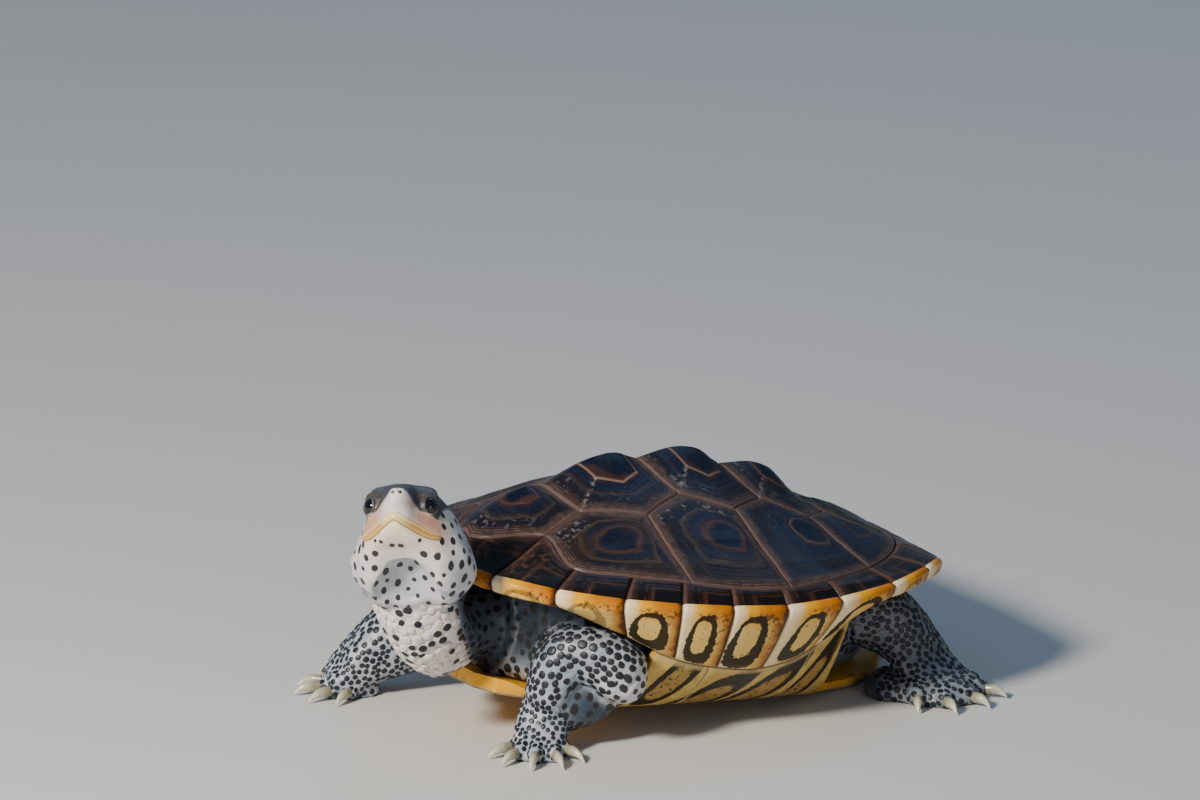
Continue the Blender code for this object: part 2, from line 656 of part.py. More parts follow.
def paw_solid(name, place, skin):
    """A foot: a flat sole and a rounded back, with a scalloped front edge where the toes end."""
    (f, l), heading, length, half_width, toes, clawed = place
    heading = math.radians(heading)
    angles = [math.radians(a) for a in (*range(-180, -60, 20), *range(-60, 61, 8), *range(80, 180, 20))]
    back = 7.5
    rings = []
    for share, height in ((0.45, 1.0), (0.8, 0.82), (0.96, 0.5), (1.0, 0.28), (0.97, 0.0)):
        ring = []
        for angle in angles:
            reach = paw_reach(angle, toes, length, half_width)
            reach = reach if math.cos(angle) > 0 else back + (reach - back) * (1 - math.cos(angle) ** 2)
            reach *= share
            spot = (f + reach * math.cos(heading + angle), l + reach * math.sin(heading + angle))
            ring.append(level(*spot, -RIM_HEIGHT + height * PAW_THICKNESS))
        rings.append(ring)
    return loft(name, rings, skin)


def claw(name, place, toe, length, horn, count=6):
    """A curved blunt cone that starts just off the toe's end and comes down to the ground."""
    (f, l), heading, paw_length, half_width, toes, clawed = place
    angle = math.radians(toe)
    reach = paw_reach(angle, toes, paw_length, half_width) + CLAW_GAP
    outward = Vector((math.cos(math.radians(heading) + angle), math.sin(math.radians(heading) + angle), 0))
    root = Vector((f, l, -RIM_HEIGHT + 2.6)) + outward * reach
    rings = []
    side = Vector((0, 0, 1)).cross(outward)
    for share, size in ((0.0, 1.0), (0.5, 0.78), (1.0, 0.25)):
        centre = root + outward * length * share + Vector((0, 0, 0.9 * share - 2.7 * share**2))
        radius = CLAW_RADIUS * size
        spokes = [side * math.cos(a) + Vector((0, 0, 1)) * math.sin(a) for a in ring_angles(count)]
        ring = [centre + spoke * radius for spoke in spokes]
        rings.append([level(*p) for p in ring])
    return loft(name, rings, horn)


def build_limbs(skin, horn):
    tubes = (("front_left", FRONT_LEFT), ("front_right", FRONT_RIGHT),
             ("hind_left", HIND_LEFT), ("hind_right", HIND_RIGHT))
    for name, stations in tubes:
        place = PAWS[name]
        leg = limb_tube(f"leg_{name}", stations, skin)
        combine(leg, paw_solid(f"paw_{name}", place, skin), "UNION")
        toes, clawed = place[4], place[5]
        for i, toe in enumerate(toes[:clawed]):
            claw(f"claw_{name}_{i + 1}", place, toe, CLAW_LENGTH[name.split("_")[0]], horn)


def settle():
    """Moves the model so that the middle of its outer box is over the origin and its soles are at Z = 0."""
    bpy.context.view_layer.update()
    graph = bpy.context.evaluated_depsgraph_get()
    solids = [obj for obj in bpy.data.objects if not obj.hide_render]
    corners = [Vector(c) for obj in solids for c in obj.evaluated_get(graph).bound_box]
    low = Vector([min(c[i] for c in corners) for i in range(3)])
    high = Vector([max(c[i] for c in corners) for i in range(3)])
    shift = Vector((-(low.x + high.x) / 2, -(low.y + high.y) / 2, -low.z))
    for obj in bpy.data.objects:
        obj.data.transform(Matrix.Translation(shift))


def build():
    horn = material("carapace_horn", (0.05, 0.035, 0.03), 0.35)
    pale_horn = material("plastron_horn", (0.75, 0.5, 0.2), 0.45)
    skin = material("skin", (0.35, 0.37, 0.4), 0.5)
    beak = material("beak", (0.8, 0.68, 0.5), 0.4)
    eye = material("eye", (0.01, 0.01, 0.012), 0.05)
    claws = material("claw", (0.7, 0.68, 0.52), 0.4)
    build_carapace(horn)
    build_plastron(pale_horn)
    build_trunk(skin)
    build_neck(skin)
    build_tail(skin)
    build_head(skin, beak, eye)
    build_limbs(skin, claws)
    settle()


for old in list(bpy.data.objects):
    bpy.data.objects.remove(old)
build()
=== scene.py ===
"""Looks of a standing diamondback terrapin: its horn scutes, spotted skin with scales, beak, eyes and claws.

Lengths are millimetres in the animal's own terms, as in the solids: f forward, l to its left and u up, in the
level frame or, for the shell, in the frame tilted with it. Head terms are back from the snout's tip, left and
up along the head. In the model the animal faces -Y, and lengths are metres.
"""

import math

import bmesh
import bpy
import numpy as np
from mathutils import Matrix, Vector, kdtree, noise
from mathutils.bvhtree import BVHTree


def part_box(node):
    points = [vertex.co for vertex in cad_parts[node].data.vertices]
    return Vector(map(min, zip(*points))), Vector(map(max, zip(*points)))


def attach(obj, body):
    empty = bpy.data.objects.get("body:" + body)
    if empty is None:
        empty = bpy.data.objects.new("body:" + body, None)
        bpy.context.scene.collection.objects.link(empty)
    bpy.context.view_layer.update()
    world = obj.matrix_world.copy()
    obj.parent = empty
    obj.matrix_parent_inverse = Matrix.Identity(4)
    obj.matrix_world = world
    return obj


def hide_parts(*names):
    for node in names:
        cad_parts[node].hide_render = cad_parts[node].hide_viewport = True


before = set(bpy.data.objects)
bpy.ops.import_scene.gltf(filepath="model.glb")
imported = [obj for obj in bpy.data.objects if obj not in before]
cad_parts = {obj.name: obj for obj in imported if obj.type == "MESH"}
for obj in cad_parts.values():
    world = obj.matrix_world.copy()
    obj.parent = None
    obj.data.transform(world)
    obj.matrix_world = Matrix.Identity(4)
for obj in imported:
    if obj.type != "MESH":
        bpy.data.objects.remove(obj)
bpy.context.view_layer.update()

MM = 0.001
SEED = 11

# ---------------------------------------------------------------- the stance and the shell, as in the solids

RIM_HEIGHT = 47.5
PITCH = math.radians(6.0)
ROLL = math.radians(-0.7)
HALF_LENGTH = 90.0
HALF_WIDTH = 68.0
REAR_BROADENING = 0.055
OUTLINE_POWER = 2.25
# Heights of the rim and the keel along the shell: f, u.
RIM_LINE = ((-90.0, -6.0), (-86.0, -2.5), (-78.0, 2.4), (-66.0, 3.8), (-46.0, 1.8), (-23.0, -0.6),
            (-2.5, -2.2), (17.0, -2.0), (34.0, -1.4), (52.0, -0.7), (70.0, 0.2), (84.0, 1.3), (90.0, 2.7))
KEEL_LINE = ((-90.0, -5.0), (-82.0, 1.6), (-75.0, 4.9), (-68.0, 8.0), (-60.0, 11.0), (-50.0, 13.8),
             (-41.5, 17.2), (-28.0, 21.8), (-15.0, 25.5), (0.0, 28.2), (16.0, 28.5), (33.0, 26.0),
             (50.0, 21.3), (61.0, 16.8), (70.0, 12.8), (77.0, 9.6), (84.0, 6.2), (90.0, 3.4))
# How much of the keel's height over the rim is left at a share of the way out.
FALL = ((0.0, 1.0), (0.2, 0.87), (0.385, 0.725), (0.6, 0.5), (0.75, 0.345), (0.87, 0.22), (0.94, 0.13),
        (1.0, 0.0))
KEEL_HEIGHT = 0.8
KEEL_HALF_WIDTH = 5.0
PLATE = 2.6
EDGE_HEIGHT = 3.4
PLASTRON_DEPTH = 41.0
BRIDGE_START = 34.0
BRIDGE_POWER = 1.75
# Knobs of the keel: middle, height, reach forwards and backwards.
BOSSES = ((60.0, 3.2, 14.0, 8.5), (28.0, 3.9, 17.0, 9.0), (-4.0, 4.1, 16.0, 8.0), (-33.0, 4.4, 15.0, 6.8))
BOSS_HALF_WIDTH = 9.5
# Lengths of the nuchal's half and the twelve marginals along the rim, and their section at each seam.
MARGINAL_SHARES = (0.25, 1.12, 1.05, 1.06, 0.9, 0.85, 0.94, 0.99, 1.13, 1.02, 0.98, 0.98, 0.98)
MARGINAL_INNER = (0.87, 0.87, 0.725, 0.85, 0.86, 0.875, 0.905, 0.915, 0.895, 0.865, 0.84, 0.83, 0.84, 0.86)
UNDERSIDE_DROP = (4.5, 4.5, 5.0, 7.0, 13.0, 19.0, 21.5, 22.0, 18.0, 7.5, 5.5, 5.0, 5.0, 5.0)
UNDERSIDE_INSET = (11.0, 11.0, 12.0, 11.0, 10.0, 10.5, 11.0, 11.0, 10.5, 11.0, 12.0, 12.0, 12.0, 12.0)
# Corners where the vertebral and costal scutes meet, and the marginals at which the costal seams end.
V12_KEEL, V12_SIDE = (50.5, 0.0), (45.5, 16.0)
V23_KEEL, V23_SIDE = (15.7, 0.0), (10.5, 18.0)
V34_KEEL, V34_SIDE = (-15.5, 0.0), (-21.5, 16.5)
V45_KEEL, V45_SIDE = (-47.5, 0.0), (-50.5, 10.5)
C12_KEEL_SIDE, C23_KEEL_SIDE, C34_KEEL_SIDE = (26.5, 25.5), (-6.0, 26.0), (-37.5, 22.0)
C12_MARGINAL, C23_MARGINAL, C34_MARGINAL, C4V5_MARGINAL = 4.2, 6.2, 8.12, 10.35
PLASTRON_FRONT, PLASTRON_REAR = 76.0, -79.0
# Half widths of the plastron's lobes, and where its seams cross the midline and the edge.
LOBE_WIDTHS = ((-79.0, 11.0), (-70.0, 22.0), (-58.0, 29.0), (-46.0, 32.0), (-36.0, 35.0),
               (36.0, 36.0), (50.0, 29.5), (62.0, 24.5), (72.0, 18.0), (76.0, 11.0))
PLASTRON_SEAMS = ((63.0, 72.0), (47.0, 37.0), (18.0, 17.0), (-22.0, -20.0), (-48.0, -62.0))
BRIDGE_FRONT, BRIDGE_REAR = 36.0, -36.0

# ---------------------------------------------------------------- the head, neck and limbs, as in the solids

HEAD_BACK = (101.7, 13.5, 13.5)
HEAD_YAW = math.radians(44.5)
HEAD_PITCH = math.radians(45.0)
HEAD_ROLL = math.radians(5.0)
HEAD_LENGTH = 42.0
EYE_PLACE = (12.3, 7.9, 5.0)
# Feet: heel f, l, heading, length, half width, the toes' angles, and how many toes have claws.
PAWS = {
    "front_left": ((68.0, 33.5), 50.0, 17.0, 11.0, (-50, -25, 0, 25, 50), 5),
    "front_right": ((84.0, -49.0), -20.0, 16.5, 11.0, (-50, -25, 0, 25, 50), 5),
    "hind_left": ((-67.5, 41.5), 105.0, 26.0, 18.0, (-46, -23, 0, 23, 46), 4),
    "hind_right": ((-71.0, -41.5), -118.0, 26.0, 18.0, (46, 23, 0, -23, -46), 4),
}
CLAW_LENGTH = {"front": 8.5, "hind": 8.0}
CLAW_GAP = 0.6


def spline(stations, x):
    """Catmull-Rom curve through (x, value) pairs with x rising, at each x of an array."""
    xs, values = np.array(stations, float).T
    x = np.clip(x, xs[0], xs[-1])
    i = np.clip(np.searchsorted(xs, x, side="right") - 1, 0, len(xs) - 2)
    share = (x - xs[i]) / (xs[i + 1] - xs[i])
    a, b, c, d = (values[np.clip(i + k, 0, len(xs) - 1)] for k in (-1, 0, 1, 2))
    return b + 0.5 * share * (c - a + share * (2 * a - 5 * b + 4 * c - d + share * (3 * (b - c) + d - a)))


def smoothstep(low, high, x):
    share = np.clip((x - low) / (high - low), 0.0, 1.0)
    return share * share * (3 - 2 * share)


def bell(x, middle, width, power=2):
    """A smooth bump that is 1 at its middle."""
    return np.exp(-(((x - middle) / width) ** power))


def unit(vectors):
    return vectors / np.linalg.norm(vectors, axis=-1, keepdims=True)


def on_side(place, side):
    """A place given for the left side, or mirrored where side is -1."""
    return np.array(place) * (1, side, 1)


def head_axes():
    """The head's forward, left and up directions in the level frame, as rows."""
    across = math.cos(HEAD_PITCH)
    forward = np.array((across * math.cos(HEAD_YAW), across * math.sin(HEAD_YAW), math.sin(HEAD_PITCH)))
    level_left = np.array((-math.sin(HEAD_YAW), math.cos(HEAD_YAW), 0.0))
    left = level_left * math.cos(HEAD_ROLL) + np.cross(forward, level_left) * math.sin(HEAD_ROLL)
    return np.array((forward, left, np.cross(forward, left)))


HEAD_AXES = head_axes()
SNOUT = np.array(HEAD_BACK) + HEAD_AXES[0] * HEAD_LENGTH


def from_head(points):
    """Points given as distance back from the snout's tip, left and up, in the level frame."""
    points = np.asarray(points, float)
    return SNOUT + points * (-1, 1, 1) @ HEAD_AXES


def to_head(points):
    return (np.asarray(points, float) - SNOUT) @ HEAD_AXES.T * (-1, 1, 1)


def unshifted(points):
    """Points of the level frame in metres, before the solids were centred over the origin."""
    points = np.asarray(points, float)
    return np.stack((points[..., 1], -points[..., 0], points[..., 2] + RIM_HEIGHT), -1) * MM


def settled_shift():
    """How far the solids were moved to centre them, found from where the left eye is."""
    low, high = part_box("eye_left")
    return (np.array(low) + np.array(high)) / 2 - unshifted(from_head(EYE_PLACE))


SHIFT = settled_shift()


def level(points):
    return unshifted(points) + SHIFT


def tilt(points):
    """Points of the shell frame in the level frame."""
    f, l, u = np.moveaxis(np.asarray(points, float), -1, 0)
    f, u = f * math.cos(PITCH) - u * math.sin(PITCH), u * math.cos(PITCH) + f * math.sin(PITCH)
    l, u = l * math.cos(ROLL) - u * math.sin(ROLL), u * math.cos(ROLL) + l * math.sin(ROLL)
    return np.stack((f, l, u), -1)


def shell(points):
    return level(tilt(points))


# ---------------------------------------------------------------- the shell as surfaces


def side_width(f):
    return HALF_WIDTH * (1 - REAR_BROADENING * f / HALF_LENGTH)


def rim(t):
    """The shell's outline in plan, t from 0 at the front to pi at the rear; negative t is the right side."""
    c, s = np.cos(t), np.sin(t)
    f = HALF_LENGTH * np.copysign(np.abs(c) ** (2 / OUTLINE_POWER), c)
    return f, side_width(f) * np.copysign(np.abs(s) ** (2 / OUTLINE_POWER), s)


def rim_height(f):
    return spline(RIM_LINE, f)


def boss_height(f, l):
    rise = 0.0
    for centre, height, ahead, behind in BOSSES:
        reach = np.where(f > centre, ahead, behind)
        rise = rise + height * np.exp(-((np.abs(f - centre) / reach) ** 2.4))
    return rise * np.exp(-((np.abs(l) / BOSS_HALF_WIDTH) ** 2))


def carapace(f, l):
    """Height of the carapace's outer surface."""
    along = np.minimum(np.abs(f) / HALF_LENGTH, 1.0)
    half = np.maximum(side_width(f) * (1 - along**OUTLINE_POWER) ** (1 / OUTLINE_POWER), 1e-6)
    out = np.minimum(np.abs(l) / half, 1.0)
    edge = rim_height(f)
    keel = KEEL_HEIGHT * np.exp(-np.abs(l) / KEEL_HALF_WIDTH) * (1 - along**3)
    return edge + (spline(KEEL_LINE, f) - edge) * spline(FALL, out) + keel + boss_height(f, l)


def seam_angles():
    """Rim angles: at the front midline, the nuchal's edge, each marginal seam and the rear midline."""
    angles = np.linspace(0, math.pi, 721)
    points = np.array(rim(angles)).T
    arc = np.concatenate([[0], np.cumsum(np.hypot(*np.diff(points, axis=0).T))])
    ends = np.cumsum(MARGINAL_SHARES) / sum(MARGINAL_SHARES) * arc[-1]
    return np.array([0.0, *np.interp(ends, arc, angles)])


SEAM_ANGLES = seam_angles()


def along_marginals(values, t):
    return spline(list(zip(SEAM_ANGLES, values)), np.abs(t))


def marginal_angle(count):
    return float(np.interp(count, range(len(SEAM_ANGLES) - 1), SEAM_ANGLES[1:]))


def inner_line(t):
    f, l = rim(t)
    share = along_marginals(MARGINAL_INNER, t)
    return f * share, l * share


def underside_end(t):
    """Where a marginal's underside ends: f, l and u."""
    f, l = rim(t)
    share = 1 - along_marginals(UNDERSIDE_INSET, t) / np.hypot(f, l)
    return np.stack((f * share, l * share, rim_height(f) - along_marginals(UNDERSIDE_DROP, t)), -1)


def bridge_end(f):
    """Half width and height of the plastron's plates where the bridge carries them out to the marginals."""
    ends = underside_end(np.linspace(0.3, 2.6, 60))
    return np.interp(-f, -ends[:, 0], ends[:, 1]), np.interp(-f, -ends[:, 0], ends[:, 2])


def plastron(f, l):
    """Height of the plastron's outer surface, with its bridges curving up to the marginals."""
    base = -PLASTRON_DEPTH + 2.0 * smoothstep(45, 82, f) + 2.5 * smoothstep(-50, -80, f)
    out, end_height = bridge_end(np.clip(f, BRIDGE_REAR, BRIDGE_FRONT))
    rise = end_height + PLASTRON_DEPTH - 0.4
    share = np.clip((np.abs(l) - BRIDGE_START) / (out - BRIDGE_START), 0.0, 1.0)
    return base + rise * share**BRIDGE_POWER


def surface_normals(height, f, l, step=0.4):
    """Upward unit normals of a height surface."""
    across_f = (height(f + step, l) - height(f - step, l)) / (2 * step)
    across_l = (height(f, l + step) - height(f, l - step)) / (2 * step)
    return unit(np.stack((-across_f, -across_l, np.ones_like(f)), -1))


# ---------------------------------------------------------------- mesh helpers


def add_object(name, data):
    made = bpy.data.objects.new(name, data)
    bpy.context.scene.collection.objects.link(made)
    return made


def new_mesh(name, points, faces):
    """A mesh whose faces all look outwards."""
    mesh = bpy.data.meshes.new(name)
    mesh.from_pydata(np.asarray(points).tolist(), [], faces)
    shaped = bmesh.new()
    shaped.from_mesh(mesh)
    bmesh.ops.recalc_face_normals(shaped, faces=shaped.faces)
    shaped.to_mesh(mesh)
    shaped.free()
    return mesh


def finish_piece(piece, fields, made_of, stands_for):
    """Gives a piece its number fields for the shader, its material and body, and hides the nodes it replaces.
    """
    for field, values in fields.items():
        add_field(piece.data, field, values)
    piece.data.shade_smooth()
    piece.data.materials.append(made_of)
    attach(piece, "root")
    if stands_for:
        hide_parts(*stands_for)


def new_piece(name, points, faces, made_of, stands_for, fields, sharp_from=None):
    piece = add_object(name, new_mesh(name, points, faces))
    finish_piece(piece, fields, made_of, stands_for)
    if sharp_from:
        piece.data.set_sharp_from_angle(angle=math.radians(sharp_from))
    return piece


def add_field(mesh, name, values):
    attribute = mesh.attributes.new(name, "FLOAT", "POINT")
    attribute.data.foreach_set("value", np.asarray(values, np.float32).ravel())


def strip_faces(rows, columns, start=0):
    """Quads between closed rings of points."""
    faces = []
    for i in range(rows - 1):
        a = start + i * columns
        for j in range(columns):
            k = (j + 1) % columns
            faces.append((a + j, a + columns + j, a + columns + k, a + k))
    return faces


def loft_faces(rows, columns):
    """A tube of quads with both ends closed by a face."""
    first, last = range(columns - 1, -1, -1), range((rows - 1) * columns, rows * columns)
    return strip_faces(rows, columns) + [tuple(first), tuple(last)]


def plate_faces(rings, count):
    """A closed plate: a fan round the first point, quads between rings, and a fan round the last point."""
    outer, end = 1 + (rings - 1) * count, 1 + rings * count
    fans = [(0, 1 + j, 1 + (j + 1) % count) for j in range(count)]
    fans += [(outer + j, end, outer + (j + 1) % count) for j in range(count)]
    return fans + strip_faces(rings, count, 1)


def padded(values, points, fill=0.0):
    """Values for all the points, of which the last are out of sight inside the piece and get the fill."""
    return np.concatenate((values, np.full(len(points) - len(values), fill)))


def outline_of(corners, step):
    """A closed outline with points about a step apart that keeps its corners."""
    corners = np.array(corners, float)
    found = []
    for a, b in zip(corners, np.roll(corners, -1, axis=0)):
        count = max(1, round(np.linalg.norm(b - a) / step))
        found += [a + (b - a) * i / count for i in range(count)]
    return np.array(found)


def smooth_noise(points, size, seed=0):
    """Soft noise from -1 to 1 with features of a size in mm, at points given in mm."""
    scaled = np.asarray(points, float) / size + 17.0 * seed
    return np.array([noise.noise(Vector(p)) for p in scaled])


# ---------------------------------------------------------------- materials


class Graph:
    """A Principled material and short ways to wire nodes into it."""

    def __init__(self, name, roughness, **settings):
        self.material = bpy.data.materials.new(name)
        self.material.use_nodes = True
        self.tree = self.material.node_tree
        self.shader = self.tree.nodes["Principled BSDF"]
        self.shader.inputs["Roughness"].default_value = roughness
        for label, value in settings.items():
            self.shader.inputs[label.replace("_", " ")].default_value = value

    def node(self, kind, inputs, **settings):
        """A new node: inputs go to its sockets, settings to its properties."""
        made = self.tree.nodes.new(kind)
        for name, value in settings.items():
            setattr(made, name, value)
        for key, value in inputs.items():
            self.put(made.inputs[key], value)
        return made

    def put(self, socket, value):
        """Links an output to a socket, or sets the socket to a number or colour."""
        if isinstance(value, bpy.types.NodeSocket):
            self.tree.links.new(value, socket)
        elif isinstance(value, tuple):
            socket.default_value = (*value, 1.0)
        else:
            socket.default_value = value

    def math(self, operation, a, b=0.0, c=0.0):
        return self.node("ShaderNodeMath", {0: a, 1: b, 2: c}, operation=operation).outputs[0]

    def times(self, a, b):
        return self.math("MULTIPLY", a, b)

    def plus(self, a, b):
        return self.math("ADD", a, b)

    def rest(self, a):
        """What is left of 1."""
        return self.math("SUBTRACT", 1.0, a)

    def scaled(self, a, factor, offset):
        return self.math("MULTIPLY_ADD", a, factor, offset)

    def field(self, name):
        return self.node("ShaderNodeAttribute", {}, attribute_name=name).outputs["Fac"]

    def texture(self, kind, size, inputs, **settings):
        """A texture in the object's own metres with features of a size in mm."""
        place = self.node("ShaderNodeTexCoord", {}).outputs["Object"]
        return self.node(kind, {"Vector": place, "Scale": 1 / (size * MM), **inputs}, **settings)

    def noise(self, size, detail=3.0):
        """Noise around 0.5."""
        return self.texture("ShaderNodeTexNoise", size, {"Detail": detail}).outputs["Fac"]

    def cells(self, size, feature):
        """Distance from the middles or edges of irregular cells, as a share of their size."""
        return self.texture("ShaderNodeTexVoronoi", size, {}, feature=feature).outputs["Distance"]

    def steps(self, factor, low, high):
        """From 0 to 1 as the factor goes from low to high."""
        inputs = {"Value": factor, "From Min": low, "From Max": high}
        return self.node("ShaderNodeMapRange", inputs, interpolation_type="SMOOTHSTEP").outputs[0]

    def patches(self, size, detail, low, high):
        """Patches of noise with soft edges, 1 inside them."""
        return self.steps(self.noise(size, detail), low, high)

    def roughened(self, factor, size, detail, spread):
        """The factor moved up and down by noise, half the spread each way."""
        return self.plus(factor, self.scaled(self.noise(size, detail), spread, -spread / 2))

    def ramp(self, factor, stops):
        made = self.node("ShaderNodeValToRGB", {"Fac": factor})
        elements = made.color_ramp.elements
        for _ in stops[2:]:
            elements.new(0.5)
        for element, (place, colour) in zip(elements, stops):
            element.position = place
            element.color = (*colour, 1.0)
        return made.outputs["Color"]

    def mix(self, share, a, b):
        return self.node("ShaderNodeMix", {0: share, 6: a, 7: b}, data_type="RGBA").outputs[2]

    def tint(self, colour, share, strength, tint):
        """The colour covered by a tint at a share of a strength."""
        return self.mix(self.times(share, strength), colour, tint)

    def bump(self, height, depth_mm):
        inputs = {"Height": height, "Distance": depth_mm * MM, "Strength": 1.0}
        return self.node("ShaderNodeBump", inputs).outputs[0]

    def finish(self, colour, roughness=None, normal=None):
        wired = {"Base Color": colour, "Roughness": roughness, "Normal": normal}
        for name, value in wired.items():
            if value is not None:
                self.put(self.shader.inputs[name], value)
        return self.material


def carapace_horn():
    """Dark horn: a near black middle with rust rings round it, pale ridges by the seams, and bluish bands of
    painted sky reflection on some scutes.
    """
    g = Graph("carapace_horn", 0.3, Coat_Weight=0.05, Coat_Roughness=0.1, Specular_IOR_Level=0.1)
    ring, edge, ridge, blue_shade_and_sheen = g.field("ring"), g.field("edge"), g.field("ridge"), g.field("blue_shade_and_sheen")
    place = g.roughened(ring, 8.0, 3.0, 0.2)
    brown = g.ramp(place, (
        (0.0, (0.003, 0.004, 0.012)), (0.13, (0.004, 0.005, 0.014)), (0.185, (0.06, 0.028, 0.02)),
        (0.215, (0.04, 0.015, 0.012)), (0.28, (0.010, 0.009, 0.022)), (0.36, (0.006, 0.007, 0.014)),
        (0.44, (0.014, 0.009, 0.007)), (0.52, (0.058, 0.038, 0.019)), (0.57, (0.009, 0.006, 0.007)),
        (0.68, (0.009, 0.008, 0.013)), (0.8, (0.012, 0.007, 0.008)), (0.92, (0.03, 0.015, 0.012))))
    # Painted sky reflection: the same rings in bluish tones, laid on each scute by its share of sheen.
    painted_sky_sheen = g.ramp(place, (
        (0.0, (0.003, 0.010, 0.028)), (0.14, (0.004, 0.010, 0.026)), (0.19, (0.042, 0.02, 0.019)),
        (0.24, (0.008, 0.012, 0.028)), (0.36, (0.004, 0.014, 0.042)), (0.44, (0.012, 0.012, 0.024)),
        (0.56, (0.005, 0.013, 0.036)), (0.66, (0.012, 0.009, 0.014)), (0.8, (0.006, 0.008, 0.018)),
        (0.93, (0.024, 0.013, 0.013))))
    colour = g.mix(blue_shade_and_sheen, brown, painted_sky_sheen)
    patches = g.times(g.patches(15.0, 3.0, 0.46, 0.64), g.rest(blue_shade_and_sheen))
    colour = g.tint(colour, patches, 0.55, (0.034, 0.018, 0.010))
    # Brown margins with fine pale lines along the seams.
    margin = g.steps(g.scaled(g.noise(6.0, 3.0), 3.0, edge), 6.2, 3.2)
    colour = g.tint(colour, margin, 0.85, (0.048, 0.028, 0.023))
    waves = g.math("SINE", g.scaled(g.noise(4.0, 3.0), 2.2, g.times(edge, 6.6)))
    lines = g.times(g.steps(waves, 0.25, 0.95), margin)
    lines = g.times(lines, g.patches(2.4, 4.0, 0.36, 0.6))
    colour = g.tint(colour, lines, 0.8, (0.16, 0.1, 0.086))
    worn = g.times(g.steps(ridge, 0.3, 0.9), g.patches(2.4, 4.0, 0.45, 0.7))
    colour = g.tint(colour, worn, 0.22, (0.09, 0.065, 0.045))
    # Pale streaks, most on the sides by the keel, and a few elsewhere.
    streaks = g.times(g.patches(6.0, 3.0, 0.46, 0.6), g.patches(1.5, 5.0, 0.48, 0.66))
    streaked = g.times(streaks, g.scaled(g.field("pale_streak"), 0.9, 0.05))
    colour = g.mix(streaked, colour, (0.15, 0.14, 0.14))
    # The pale line round the areola, and the broken one that runs from it to a corner.
    line = g.steps(g.math("ABSOLUTE", g.math("SUBTRACT", ring, 0.187)), 0.02, 0.008)
    line = g.times(line, g.times(g.field("outlined"), 0.75))
    colour = g.mix(line, colour, (0.24, 0.155, 0.115))
    ray = g.times(g.field("ray"), g.patches(1.5, 3.0, 0.42, 0.58))
    colour = g.tint(colour, ray, 0.75, (0.24, 0.2, 0.16))
    seam = g.steps(edge, 1.5, 0.4)
    colour = g.tint(colour, seam, 0.5, (0.17, 0.11, 0.094))
    groove = g.steps(edge, 0.24, 0.08)
    colour = g.tint(colour, groove, 0.75, (0.018, 0.009, 0.008))
    algae = g.times(g.field("algae"), g.patches(5.0, 5.0, 0.44, 0.6))
    colour = g.tint(colour, algae, 0.8, (0.055, 0.058, 0.02))
    roughness = g.scaled(g.noise(7.0, 4.0), 0.3, 0.2)
    roughness = g.scaled(worn, 0.3, roughness)
    grain = g.plus(g.noise(0.7, 3.0), g.times(g.noise(2.2, 3.0), 1.5))
    return g.finish(colour, roughness, g.bump(grain, 0.05))


